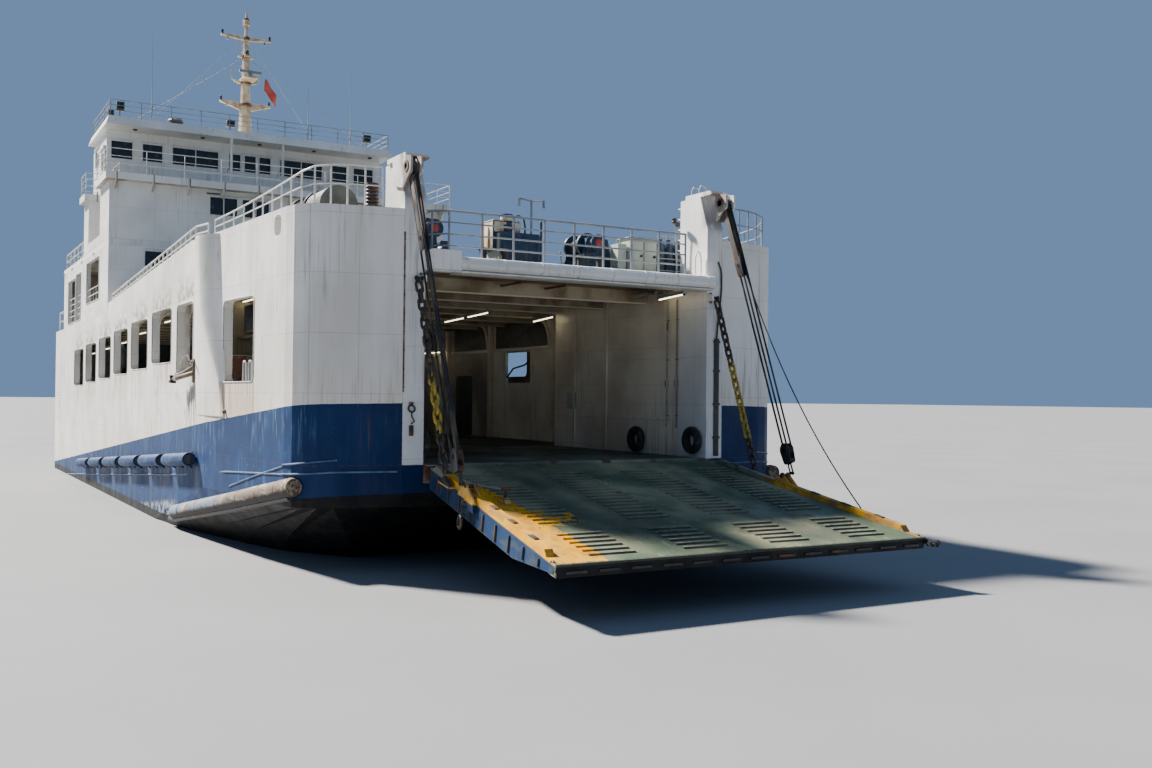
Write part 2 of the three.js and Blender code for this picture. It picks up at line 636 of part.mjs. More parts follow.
function tubeFenders() {
  const heightAt = (x) => 2.0 - TUBE_DROP * (TUBE_FRONT_X - x);
  const ends = [TUBE_FRONT_X, TUBE_FRONT_X - (TUBE_COUNT - 1) * TUBE_PITCH - TUBE_LENGTH];
  const [front, aft] = ends.map((x) => [x, heightAt(x)]);
  const strake = profile([[aft[0], aft[1] - 0.1], [front[0], front[1] - 0.1], [front[0], front[1] + 0.05],
    [aft[0], aft[1] + 0.05]], SIDE_HALF + GAP, SIDE_HALF + 0.05);
  const parts = [strake];
  for (let n = 0; n < TUBE_COUNT; n += 1) {
    const x = TUBE_FRONT_X - n * TUBE_PITCH;
    const end = x - TUBE_LENGTH;
    parts.push(rod([end, SIDE_HALF + 0.2, heightAt(end)], [x, SIDE_HALF + 0.2, heightAt(x)], 0.17, 8));
  }
  return join(parts);
}

// Hinge lugs on the bow and the ramp's knuckles share the hinge line in turn
const LUG_WIDTH = 0.22;
const LUG_CENTRES = [-3.3, -1.98, -0.66, 0.66, 1.98, 3.3];

function hingeLugs(faceX, hingeX) {
  const [x0, x1] = [faceX, hingeX].sort((a, b) => a - b);
  return LUG_CENTRES.map((y) => join(
    box(x0, x1, y - LUG_WIDTH / 2, y + LUG_WIDTH / 2, HINGE_Z - 0.1, HINGE_Z + 0.06),
    rod([hingeX, y - LUG_WIDTH / 2, HINGE_Z], [hingeX, y + LUG_WIDTH / 2, HINGE_Z], KNUCKLE_R, 8)));
}

function bowSill() {
  const sill = box(BOW_X + GAP, BOW_X + 0.08, -OPEN_HALF, OPEN_HALF, HINGE_Z - 0.3, HINGE_Z + 0.07);
  return join(sill, hingeLugs(BOW_X + 0.04, HINGE_X));
}

function sternSill() {
  const sill = box(STERN_X - 0.08, STERN_X - GAP, -OPEN_HALF, OPEN_HALF, HINGE_Z - 0.3, HINGE_Z + 0.07);
  return join(sill, hingeLugs(STERN_X - 0.04, -HINGE_X));
}

// Bow ramp in its own frame: x outward from the hinge line, z up from it
const RAMP_TOP = DECK_Z - HINGE_Z;

function rampHalf(x) {
  return RAMP_HALF_ROOT + (RAMP_HALF_TIP - RAMP_HALF_ROOT) * (x / RAMP_LENGTH);
}

function knuckles(reach) {
  return [-2.64, -1.32, 0, 1.32, 2.64].map((y) => join(
    rod([0, y - 0.55 + GAP, 0], [0, y + 0.55 - GAP, 0], KNUCKLE_R, 8),
    box(Math.min(0, reach), Math.max(0, reach), y - 0.5, y + 0.5, -0.08, 0.06)));
}

// Cleat bars across the deck in four wheel tracks. Columns of the bands: first x, rows
const CLEAT_BANDS = [[0.95, 16], [4.86, 6]];
const CLEAT_PITCH = 0.215;
const CLEAT_TRACKS = [-2.85, -0.95, 0.95, 2.85];
const CLEAT_HALF = 0.46;
const CLEAT_HIGH = 0.028;

function cleats() {
  const cleatTop = RAMP_TOP + CLEAT_HIGH;
  const bars = [];
  for (const [first, rows] of CLEAT_BANDS) {
    for (let row = 0; row < rows; row += 1) {
      const x = first + row * CLEAT_PITCH;
      for (const y of CLEAT_TRACKS) {
        bars.push(box(x - 0.03, x + 0.03, y - CLEAT_HALF, y + CLEAT_HALF, RAMP_TOP - 0.02, cleatTop));
      }
    }
  }
  return bars;
}

// Lug on the ramp's curb. Columns: x at the foot's middle, foot half, head half, y0, y1, height
const RAMP_LUGS = [[2.6, 0.25, 0.15, 3.7, 3.92, 0.14], [1.4, 0.2, 0.1, 3.58, 3.7, 0.16]];

// Girder and curb along the port edge, between the plate's edge and a line inside it
function rampEdge(root) {
  const inner = 0.16;
  const last = RAMP_LENGTH - 0.1;
  const band = plan([[root, rampHalf(root) - inner], [last, rampHalf(last) - inner], [last, rampHalf(last)],
    [root, rampHalf(root)]], RAMP_TOP - 1, RAMP_TOP + 1);
  const girder = profile([[root, RAMP_TOP - 0.45], [4.6, RAMP_TOP - 0.45], [RAMP_LENGTH, RAMP_TOP - 0.16],
    [RAMP_LENGTH, RAMP_TOP - 0.02], [root, RAMP_TOP - 0.02]], -5, 5);
  const curb = profile([[root, 0], [RAMP_LENGTH - 0.3, 0], [RAMP_LENGTH - 0.5, RAMP_TOP + 0.1],
    [root + 0.3, RAMP_TOP + 0.1]], -5, 5);
  const lugs = RAMP_LUGS.map(([x, foot, head, y0, y1, top]) => (
    profile([[x - foot, -0.1], [x + foot, -0.1], [x + head, top], [x - head, top]], y0, y1)));
  return join(band.intersect(join(girder, curb)), lugs);
}

function bowRamp() {
  const root = 0.16;
  const plate = plan([[root, -rampHalf(root)], [RAMP_LENGTH, -RAMP_HALF_TIP], [RAMP_LENGTH, RAMP_HALF_TIP],
    [root, rampHalf(root)]], RAMP_TOP - 0.12, RAMP_TOP);
  const edge = rampEdge(root);
  const landing = box(RAMP_LENGTH - 0.25, RAMP_LENGTH, -RAMP_HALF_TIP + 0.02, RAMP_HALF_TIP - 0.02,
    RAMP_TOP - LANDING_DROP, RAMP_TOP - 0.05);
  const girders = [-2.2, 0, 2.2].map((y) => (
    profile([[root, RAMP_TOP - 0.4], [4.4, RAMP_TOP - 0.4], [RAMP_LENGTH - 0.2, RAMP_TOP - 0.14],
      [RAMP_LENGTH - 0.2, RAMP_TOP - 0.1], [root, RAMP_TOP - 0.1]], y - 0.06, y + 0.06)));
  return join(plate, edge, mirrored(edge), landing, girders, cleats(), knuckles(root + 0.05));
}

// Stern ramp in its own frame: x outward, which is aft and so negative
function sternRamp() {
  const root = -0.16;
  const tip = -5.1;
  const plate = box(tip, root, -3.6, 3.6, RAMP_TOP - 0.12, RAMP_TOP);
  const girders = [-3.5, -1.2, 1.2, 3.5].map((y) => (
    box(tip + 0.1, root, y - 0.07, y + 0.07, RAMP_TOP - 0.4, RAMP_TOP - 0.1)));
  return join(plate, girders, knuckles(root - 0.05));
}

// Wire fall in its own frame, hanging from the head sheave's axis
const FALL_LENGTH = 6.55;
const SHEAVE_R = 0.165;

function wireFall() {
  const wires = [[-0.13, 0.04], [0.13, 0.04], [0, -0.04]].map(([x, y]) => (
    box(x - 0.022, x + 0.022, y - 0.022, y + 0.022, -FALL_LENGTH + 0.35, x === 0 ? -0.1 : 0)));
  return join(
    rod([0, -CHEEK_CLEAR + GAP, 0], [0, CHEEK_CLEAR - GAP, 0], SHEAVE_R, 10),
    wires,
    box(-0.17, 0.17, -0.075, 0.075, -FALL_LENGTH, -FALL_LENGTH + 0.45),
    box(-0.05, 0.05, -0.075, 0.03, -FALL_LENGTH - 0.28, -FALL_LENGTH + 0.05),
  );
}

// Chain of long links, each turned a quarter from the last and just biting into it
const LINK_COUNT = 14;
const LINK_PITCH = 0.296;
const LINK_LENGTH = 0.2;
const LINK_WIDTH = 0.1;
const LINK_WIRE = 0.028;

function chain() {
  const parts = [rod([0, -0.11 + GAP, 0], [0, 0.06, 0], 0.06, 6)];
  for (let n = 0; n < LINK_COUNT; n += 1) {
    const link = new THREE.TorusGeometry(LINK_LENGTH - LINK_WIRE, LINK_WIRE, 4, 6);
    link.scale((LINK_WIDTH - LINK_WIRE) / (LINK_LENGTH - LINK_WIRE), 1, 1);
    link.rotateX(90 * DEG);
    if (n % 2 === 0) link.rotateZ(90 * DEG);
    link.translate(0, 0, -0.17 - n * LINK_PITCH);
    parts.push(solid(link));
  }
  return join(parts);
}

function propeller() {
  const parts = [rod([-0.2, 0, 0], [0.2, 0, 0], 0.14, 8)];
  for (let n = 0; n < 4; n += 1) {
    const blade = new THREE.BoxGeometry(0.06, 0.34, 0.56);
    blade.rotateZ(30 * DEG);
    blade.translate(0, 0, 0.36);
    blade.rotateX(n * 90 * DEG);
    parts.push(solid(blade));
  }
  return join(parts);
}

const PROP_X = -16.2;
const PROP_Y = 2.6;
const PROP_Z = -1.25;
const RUDDER_X = -17.4;
const RUDDER_Z = -1.15;

function shaftStrut() {
  const tube = rod([-12.6, PROP_Y, PROP_Z], [PROP_X + 0.2 + GAP, PROP_Y, PROP_Z], 0.11, 8);
  const strut = box(PROP_X + 0.28, PROP_X + 0.6, PROP_Y - 0.05, PROP_Y + 0.05, PROP_Z, COUNTER_Z);
  return clearOf(join(tube, strut), shipHull, [[0, 0, -1], [-1, 0, 0]]);
}

function rudder() {
  const stockTop = COUNTER_Z - COUNTER_SLOPE * 0.6 - GAP - RUDDER_Z;
  return join(
    profile([[-0.6, -0.75], [0.3, -0.75], [0.35, 0.55], [-0.75, 0.55]], -0.06, 0.06),
    rod([0, 0, 0.5], [0, 0, stockTop], 0.08, 8),
  );
}

// Windlasses, one each side, with a fore-and-aft drum
const WINDLASS_X = 17.3;
const WINDLASS_PORT_Y = 1.41;
const WINDLASS_STBD_Y = -2.85;
const DRUM_UP = 0.8;
const CHEEK_X = [0.38, 0.5];
const SHAFT_R = 0.08;

function windlassBase() {
  const cheek = [[-0.28, 0.05], [0.28, 0.05], [0.14, 0.95], [-0.14, 0.95]];
  const [near, far] = CHEEK_X;
  const bore = rod([0, 0, DRUM_UP], [1, 0, DRUM_UP], SHAFT_R + 0.012, 12);
  return join(
    box(-0.6, 0.6, -0.4, 0.4, 0, 0.08),
    box(-0.6, 0.12, 0.3, 1.0, 0, 0.08),
    cut(section(cheek, near, far), bore),
    section(cheek, -far, -near),
    section([[0.42, 0.05], [0.95, 0.05], [0.72, 1.02], [0.36, 1.02]], -0.4, 0.1),
  );
}

function drum() {
  const [near, far] = CHEEK_X;
  return join(
    rod([-near + GAP, 0, 0], [far + 0.35, 0, 0], SHAFT_R, 10),
    rod([-0.3, 0, 0], [0.3, 0, 0], 0.14, 10),
    rod([-0.34, 0, 0], [-0.28, 0, 0], 0.3, 12),
    rod([0.28, 0, 0], [0.34, 0, 0], 0.3, 12),
    rod([far + 0.06, 0, 0], [far + 0.2, 0, 0], 0.2, 12, 0.12),
    rod([far + 0.2, 0, 0], [far + 0.34, 0, 0], 0.12, 12, 0.2),
  );
}

// Foredeck pieces stand on the upper deck
const STAND_Z = UPPER_Z + GAP;

function winchHousing() {
  return join(
    box(17.35, 18.1, -1.2, -0.2, STAND_Z, 7.42),
    box(17.4, 17.95, -1.32, -0.62, 7.0, 7.68),
    rod([17.85, -0.92, 7.6], [17.85, -0.92, 7.86], 0.14, 10),
  );
}

function deckCabinet() {
  return join(
    box(17.45, 18.05, 2.1, 3.22, STAND_Z, STAND_Z + 0.08),
    box(17.5, 18.0, 2.4, 3.2, STAND_Z, 7.56),
    box(17.55, 17.9, 2.12, 2.36, STAND_Z, 7.42),
  );
}

function airBottles() {
  const bottles = [3.36, 3.62, 3.88].map((y) => join(
    rod([17.9, y, STAND_Z + 0.04], [17.9, y, 7.5], 0.12, 10),
    rod([17.9, y, 7.45], [17.9, y, 7.62], 0.06, 8)));
  return join(box(17.75, 18.05, 3.24, 4.0, STAND_Z, STAND_Z + 0.06), bottles);
}

function lampPost() {
  const [x, y, top] = [17.3, 0.02, 8.36];
  const arms = [-1, 1].map((side) => join(
    rod([x, y, top - 0.02], [x, y + side * 0.34, top + 0.02], 0.022, 5),
    rod([x, y + side * 0.33, top + 0.03], [x, y + side * 0.34, top - 0.16], 0.035, 6)));
  return join(
    box(x - 0.1, x + 0.1, y - 0.1, y + 0.1, STAND_Z, STAND_Z + 0.03),
    rod([x, y, STAND_Z + 0.01], [x, y, top], 0.03, 6),
    arms,
  );
}

// Rounded hood over the stairs in the starboard bow wing
function stairHood() {
  const half = 0.42;
  const spring = 7.62;
  const arch = new THREE.Shape();
  arch.moveTo(-half, STAND_Z);
  arch.lineTo(half, STAND_Z);
  arch.lineTo(half, spring);
  arch.absarc(0, spring, half, 0, Math.PI, false);
  arch.lineTo(-half, STAND_Z);
  const geometry = new THREE.ExtrudeGeometry(arch, { depth: 1.1, bevelEnabled: false, curveSegments: 8 });
  geometry.applyMatrix4(FRONT_VIEW);
  geometry.translate(17.2, -5.1, 0);
  return solid(geometry);
}

// Everything in its place
const shipHull = hull();
const shipSide = sideWall();
put('hull', shipHull, 'blue');
putPair('bow_wing', bowWing(), 'white');
putPair('pylon', pylon(), 'white');
putPair('fore_casing', casing(), 'cream');
putPair('side_wall', shipSide, 'white');
put('stern_frame', sternFrame(), 'white');
put('header_beam', headerBeam(), 'white');
put('upper_deck', upperDeck(), 'green');

const houseTop = BOAT_DECK_Z - GAP;
const house = walls(HOUSE_AFT_X, HOUSE_X, SIDE_HALF, UPPER_Z + GAP, houseTop, CABIN_WALL, HOUSE_HOLES);
const boatDeckAft = HOUSE_AFT_X - 0.2;
const boatDeckTop = BOAT_DECK_Z + BOAT_SLAB;
put('passenger_house', house, 'white');
put('boat_deck', box(boatDeckAft, HOUSE_X, -SIDE_HALF, SIDE_HALF, BOAT_DECK_Z, boatDeckTop), 'green');
put('crew_house', crewHouse(), 'white');
put('bridge_deck', bridgeDeck(), 'green');
put('wheelhouse', wheelhouse(), 'white');
put('wheelhouse_roof', roofSlab(), 'white');
const doorPlace = { x: DOOR_FRONT_X + DOOR_LAP, y: WHEEL_HALF, z: WHEEL_SILL_Z };
putPair('wheelhouse_door', wheelDoor(), 'white', doorPlace);
put('mast', mast(), 'cream');
put('radar_scanner', radar(), 'grey', { x: MAST_X + RADAR_FORWARD, z: RADAR_Z + GAP });
putPair('funnel', funnel(), 'blue');

// Rails round the decks
const TWO_RAILS = [0.54, 1];
const THREE_RAILS = [0.36, 0.68, 1];
const FOUR_RAILS = [0.26, 0.51, 0.76, 1];
const mirrorFeet = (feet) => feet.map(([x, y, z, height]) => [x, -y, z, height]).reverse();
const headerFeet = [
  ...spread([19.35, 3.1, UPPER_Z, 1], [19.35, -3.05, UPPER_Z, 1], 8),
  [19.12, -3.34, UPPER_Z, 1], [18.15, -3.38, UPPER_Z, 1],
];
put('header_rail', railing(headerFeet, FOUR_RAILS), 'grey');

// Bow wing rail, higher round the corner. Columns: x, y, height
const WING_FEET = [[13.2, 6.47, 0.36], [14.6, 6.37, 0.4], [16.0, 6.28, 0.46], [17.2, 6.2, 0.52],
  [18.3, 6.12, 0.6], [18.9, 5.82, 0.78], [19.1, 5.2, 0.84], [19.25, 4.5, 0.84]];
const wingFeet = WING_FEET.map(([x, y, height]) => [x, y, WING_TOP_Z, height]);
putPair('wing_rail', railing(wingFeet, TWO_RAILS), 'white');

const bulwarkY = SIDE_HALF - WALL / 2;
const bulwarkFeet = [
  ...spread([BULWARK_AFT_X + 0.1, bulwarkY, BULWARK_AFT_Z - 0.05, 0.35],
    [BULWARK_FRONT_X, bulwarkY, BULWARK_FRONT_Z - 0.05, 0.42], 10),
  [12.6, bulwarkY, WING_TOP_Z - 0.04, 0.4],
];
putPair('bulwark_rail', clearOf(railing(bulwarkFeet, TWO_RAILS), shipSide, [[0, 0, 1]]), 'white');

// Feet of a rail along straight runs of one deck. Columns: x, y, posts to the next corner
function runs(corners, deck, height) {
  return corners.flatMap(([x, y, posts], i) => {
    if (i === corners.length - 1) return [[x, y, deck, height]];
    const [nextX, nextY] = corners[i + 1];
    return spread([x, y, deck, height], [nextX, nextY, deck, height], posts).slice(0, -1);
  });
}

const bridgeRailX = BRIDGE_FRONT_X - 0.06;
const bridgeFeet = runs([
  [bridgeRailX, 0, 5], [bridgeRailX, 6.72, 2], [-5.03, 6.72, 1], [-5.03, 5.9, 2], [-8.07, 5.9, 1],
  [-8.07, 6.72, 1], [-9.38, 6.72, 1], [-9.38, 6.12, 1],
], BRIDGE_TOP_Z, 0.85);
const bridgeRail = railing([...mirrorFeet(bridgeFeet).slice(0, -1), ...bridgeFeet], THREE_RAILS);
put('bridge_rail', bridgeRail, 'white');

const roofInset = ROOF_CANT + 0.06;
const roofRailFront = ROOF_FRONT_X - roofInset;
const roofFeet = runs([
  [roofRailFront, 0, 5], [roofRailFront, ROOF_HALF - roofInset, 3],
  [ROOF_AFT_X + roofInset, ROOF_HALF - roofInset, 1],
], ROOF_TOP_Z, 0.66);
put('roof_rail', railing([...mirrorFeet(roofFeet).slice(0, -1), ...roofFeet], THREE_RAILS), 'grey');

const boatRailAft = boatDeckAft + 0.12;
const boatDeckFeet = runs([
  [WING_AFT_X - 0.1, bulwarkY, 5], [boatRailAft, bulwarkY, 4], [boatRailAft, 0, 1],
], boatDeckTop, 0.7);
const boatDeckRail = railing([...boatDeckFeet, ...mirrorFeet(boatDeckFeet).slice(1)], TWO_RAILS);
put('boat_deck_rail', boatDeckRail, 'white');

const sternFeet = runs([
  [-16.2, 6.45, 1], [-18.7, 6.45, 1], [-19.38, 5.6, 1], [-19.38, 3.7, 1], [-19.38, 0, 1],
], UPPER_Z, 0.9);
put('stern_rail', railing([...sternFeet, ...mirrorFeet(sternFeet).slice(1)], TWO_RAILS), 'white');

// Outfit of the hull, the ramps and their gear
putPair('diagonal_fender', diagonalFender(), 'cream');
putPair('tube_fenders', tubeFenders(), 'blue');
put('bow_sill', bowSill(), 'dark');
put('stern_sill', sternSill(), 'dark');
put('bow_ramp', bowRamp(), 'green', { x: HINGE_X, z: HINGE_Z, turnY: RAMP_ANGLE * DEG });
put('stern_ramp', sternRamp(), 'green', { x: -HINGE_X, z: HINGE_Z, turnY: 90 * DEG });
const fallPlace = { x: HEAD_X, y: FALL_Y, z: HEAD_Z, turnY: -FALL_ANGLE * DEG };
const chainPlace = { x: CHAIN_X, y: CHAIN_Y, z: CHAIN_Z, turnY: -CHAIN_ANGLE * DEG };
putPair('wire_fall', wireFall(), 'dark', fallPlace);
putPair('ramp_chain', chain(), 'yellow', chainPlace);
const windlass = windlassBase();
const windlassDrum = drum();
const drumZ = UPPER_Z + DRUM_UP;
put('windlass_base_port', windlass, 'machine', { x: WINDLASS_X, y: WINDLASS_PORT_Y, z: STAND_Z });
put('windlass_base_stbd', mirrored(windlass), 'machine', { x: WINDLASS_X, y: WINDLASS_STBD_Y, z: STAND_Z });
put('windlass_drum_port', windlassDrum, 'machine', { x: WINDLASS_X, y: WINDLASS_PORT_Y, z: drumZ });
put('windlass_drum_stbd', mirrored(windlassDrum), 'machine', { x: WINDLASS_X, y: WINDLASS_STBD_Y, z: drumZ });
put('winch_housing', winchHousing(), 'machine');
put('deck_cabinet', deckCabinet(), 'cabinet');
put('air_bottles', airBottles(), 'machine');
put('lamp_post', lampPost(), 'grey');
put('stair_hood', stairHood(), 'grey');
putPair('shaft_strut', shaftStrut(), 'dark');
putPair('propeller', propeller(), 'bronze', { x: PROP_X, y: PROP_Y, z: PROP_Z });
putPair('rudder', rudder(), 'dark', { x: RUDDER_X, y: PROP_Y, z: RUDDER_Z });

export default ship;
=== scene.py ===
from math import cos, pi, radians, sin, sqrt

import bmesh
import bpy
from mathutils import Matrix, Vector


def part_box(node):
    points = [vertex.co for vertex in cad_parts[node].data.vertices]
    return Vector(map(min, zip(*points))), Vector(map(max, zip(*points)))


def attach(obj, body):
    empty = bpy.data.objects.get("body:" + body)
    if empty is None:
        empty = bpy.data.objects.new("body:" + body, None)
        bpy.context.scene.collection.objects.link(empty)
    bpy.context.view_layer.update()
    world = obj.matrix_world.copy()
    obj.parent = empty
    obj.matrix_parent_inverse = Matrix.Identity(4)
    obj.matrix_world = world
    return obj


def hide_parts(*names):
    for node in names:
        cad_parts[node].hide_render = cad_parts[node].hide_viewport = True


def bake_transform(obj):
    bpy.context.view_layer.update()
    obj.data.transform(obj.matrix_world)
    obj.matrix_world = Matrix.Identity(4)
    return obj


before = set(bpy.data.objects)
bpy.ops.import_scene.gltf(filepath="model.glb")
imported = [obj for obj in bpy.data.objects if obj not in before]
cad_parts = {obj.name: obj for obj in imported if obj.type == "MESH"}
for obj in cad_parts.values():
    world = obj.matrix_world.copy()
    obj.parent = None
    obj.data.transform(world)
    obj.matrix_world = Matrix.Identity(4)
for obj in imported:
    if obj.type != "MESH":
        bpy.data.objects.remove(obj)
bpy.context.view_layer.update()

# A ro-ro ferry at 1:2. Sizes below are the full-size ship's metres, and SCALE turns them into the frame's.
# X is forward, Y is to port and Z is up from the waterline. A pair is built to port and turned over for
# starboard.
SCALE = 0.5
SIDES = {"port": 1, "stbd": -1}

# Unit axes
X, Y, Z = (1, 0, 0), (0, 1, 0), (0, 0, 1)


def span(side, near, far):
    """Two distances from the centreline, as low and high on one side of the ship."""
    return sorted((side * near, side * far))


def low_high(node):
    """Lowest and highest corners of a CAD node, in full-size metres."""
    return [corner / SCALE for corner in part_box(node)]


# Ship's places that the added pieces keep to, read off the frame
HULL_HIGH = low_high("hull")[1]
DECK_Z = HULL_HIGH.z
SIDE_HALF = HULL_HIGH.y
UPPER_Z = low_high("upper_deck")[1].z
CEILING = UPPER_Z - 0.16
BEAM_LOW = UPPER_Z - 0.5
BOAT_DECK_Z = low_high("boat_deck")[1].z
BRIDGE_TOP_Z = 11.64
ROOF_Z = low_high("wheelhouse_roof")[1].z
WHEEL_LOW, WHEEL_HIGH = low_high("wheelhouse")
HOUSE_X = low_high("passenger_house")[1].x
BOW_X = HULL_HIGH.x

# Fittings stop this far short of the plate they stand on or hang from
LIFT = 0.006

# Bow ramp's hinge line and slope, and the upper ends of the falls and chains
HINGE_X = 19.72
HINGE_Z = 2.12
RAMP_ANGLE = radians(11)
RAMP_LENGTH = 6.3
RAMP_TOP = 0.08
FALL_HEAD = Vector((19.68, 4.02, 8.32))
FALL_ANGLE = radians(21.5)
CHAIN_HEAD = Vector((19.6, 3.84, 6.05))
CHAIN_ANGLE = radians(20.5)


# Camera, at the photograph's place and angle, in the frame's metres
CAMERA_AT = Vector((20.703, -6.462, 1.808))
CAMERA_YAW = radians(30.57)
CAMERA_PITCH = radians(0.702)
CAMERA_ROLL = radians(0.58)
LENS = 35.565


def add_camera():
    level = Vector((-cos(CAMERA_YAW), sin(CAMERA_YAW), 0))
    right = Vector((sin(CAMERA_YAW), cos(CAMERA_YAW), 0))
    up = Vector(Z)
    ahead = level * cos(CAMERA_PITCH) + up * sin(CAMERA_PITCH)
    above = up * cos(CAMERA_PITCH) - level * sin(CAMERA_PITCH)
    image_x = right * cos(CAMERA_ROLL) + above * sin(CAMERA_ROLL)
    image_y = above * cos(CAMERA_ROLL) - right * sin(CAMERA_ROLL)
    turn = Matrix((image_x, image_y, -ahead)).transposed()
    data = bpy.data.cameras.new("camera")
    data.lens = LENS
    data.sensor_width = 36
    data.clip_end = 600
    camera = bpy.data.objects.new("camera", data)
    camera.matrix_world = Matrix.Translation(CAMERA_AT) @ turn.to_4x4()
    bpy.context.scene.collection.objects.link(camera)
    bpy.context.scene.camera = camera


# Soft key light from the starboard side and a little aft, with a pale sky for fill
SUN_BEARING = radians(210)
SUN_HEIGHT = radians(43)


def add_light():
    sun = bpy.data.lights.new("key", "SUN")
    sun.energy = 17
    sun.angle = radians(5)
    sun.color = (1, 0.965, 0.91)
    lamp = bpy.data.objects.new("key", sun)
    flat = cos(SUN_HEIGHT)
    towards = Vector((cos(SUN_BEARING) * flat, sin(SUN_BEARING) * flat, sin(SUN_HEIGHT)))
    lamp.rotation_euler = towards.to_track_quat("Z", "Y").to_euler()
    bpy.context.scene.collection.objects.link(lamp)
    world = bpy.data.worlds.new("sky")
    world.use_nodes = True
    background = world.node_tree.nodes["Background"]
    background.inputs["Color"].default_value = (0.34, 0.57, 1, 1)
    background.inputs["Strength"].default_value = 0.46
    bpy.context.scene.world = world


class Surface:
    """A principled material and the node steps that feed it."""

    def __init__(self, name, roughness=0.5, metallic=0):
        self.material = bpy.data.materials.new(name)
        self.material.use_nodes = True
        self.tree = self.material.node_tree
        self.shader = self.tree.nodes["Principled BSDF"]
        self.shader.inputs["Roughness"].default_value = roughness
        self.shader.inputs["Metallic"].default_value = metallic
        coordinates = self.tree.nodes.new("ShaderNodeTexCoord")
        self.place = coordinates.outputs["Object"]
        self.facing = coordinates.outputs["Normal"]

    def node(self, kind, inputs, output=0, **settings):
        added = self.tree.nodes.new("ShaderNode" + kind)
        for name, value in settings.items():
            setattr(added, name, value)
        for key, value in inputs.items():
            self.feed(added.inputs[key], value)
        return added.outputs[output]

    def feed(self, socket, value):
        if isinstance(value, bpy.types.NodeSocket):
            self.tree.links.new(value, socket)
        elif socket.type == "RGBA":
            socket.default_value = (*value[:3], 1)
        else:
            socket.default_value = value

    def set(self, **sockets):
        for name, value in sockets.items():
            self.feed(self.shader.inputs[name.replace("_", " ").title()], value)
        return self.material

    def math(self, operation, *values):
        return self.node("Math", dict(enumerate(values)), operation=operation)

    def chain(self, operation, values):
        total = values[0]
        for value in values[1:]:
            total = self.math(operation, total, value)
        return total

    def mul(self, *values):
        """Product of values, which for masks is where all of them are."""
        return self.chain("MULTIPLY", values)

    def add(self, *values):
        return self.chain("ADD", values)

    def either(self, *masks):
        return self.chain("MAXIMUM", masks)

    def sub(self, value, other):
        return self.math("SUBTRACT", value, other)

    def abs(self, value):
        return self.math("ABSOLUTE", value)

    def line(self, along, rise, start):
        return self.math("MULTIPLY_ADD", along, rise, start)

    def band(self, value, start, end, low=0, high=1):
        """Smooth change from low to high as the value goes from start to end."""
        inputs = {"Value": value, "From Min": start, "From Max": end, "To Min": low, "To Max": high}
        return self.node("MapRange", inputs, interpolation_type="SMOOTHSTEP")

    def between(self, value, low, high, soft):
        """1 from low to high, with soft ends."""
        return self.mul(self.band(value, low - soft, low + soft), self.band(value, high + soft, high - soft))

    def axes(self, vector):
        split = self.tree.nodes.new("ShaderNodeSeparateXYZ")
        self.tree.links.new(vector, split.inputs[0])
        return split.outputs

    def noise(self, size, stretch=(1, 1, 1), detail=3, shift=0):
        """Noise whose features are about size metres, longer along a stretched axis."""
        scale = [1 / (size * factor) for factor in stretch]
        inputs = {"Vector": self.place, "Location": (shift, shift, shift), "Scale": scale}
        scaled = self.node("Mapping", inputs)
        return self.node("TexNoise", {"Vector": scaled, "Scale": 1, "Detail": detail})

    def patches(self, start, end, size, stretch=(1, 1, 1), detail=3, shift=0):
        """Noise drawn out to 0 below start and 1 above end."""
        return self.band(self.noise(size, stretch, detail, shift), start, end)

    def mix(self, amount, first, second):
        return self.node("Mix", {0: amount, 6: first, 7: second}, output=2, data_type="RGBA")

    def lay(self, colour, tint, *masks):
        """A tint laid over a colour where all the masks are."""
        return self.mix(self.mul(*masks), colour, tint)

    def every(self, value, pitch, half, start=0):
        """1 on lines half wide to each side that repeat at a pitch."""
        moved = self.sub(value, start)
        away = self.math("PINGPONG", moved, pitch / 2)
        return self.band(away, half * 0.6, half, 1, 0)

    def bump(self, height, depth, strength=1):
        """Feeds the surface's bump with a height from 0 to 1 that stands for a depth in metres."""
        socket = self.shader.inputs["Normal"]
        inputs = {"Height": height, "Distance": depth, "Strength": strength}
        if socket.is_linked:
            inputs["Normal"] = socket.links[0].from_socket
        self.tree.links.new(self.node("Bump", inputs), socket)

    def edges(self, radius):
        """1 near sharp edges."""
        rounded = self.node("Bevel", {"Radius": radius}, samples=3)
        geometry = self.tree.nodes.new("ShaderNodeNewGeometry")
        match = self.node("VectorMath", {0: rounded, 1: geometry.outputs["Normal"]}, output=1,
            operation="DOT_PRODUCT")
        return self.band(match, 0.98, 0.8)


RUST = (0.19, 0.07, 0.026)
DARK_RUST = (0.055, 0.024, 0.013)
GRIME = (0.16, 0.145, 0.12)
WHITE = (0.8, 0.785, 0.745)
DULL_WHITE = (0.66, 0.65, 0.61)
CREAM = (0.5, 0.45, 0.34)
BLUE = (0.0015, 0.016, 0.066)
# Light blue of scuffs, also laid thinly over every side-facing face as painted sheen
SCUFF_AND_SHEEN_BLUE = (0.026, 0.1, 0.245)
BOOT_BLACK = (0.005, 0.005, 0.006)


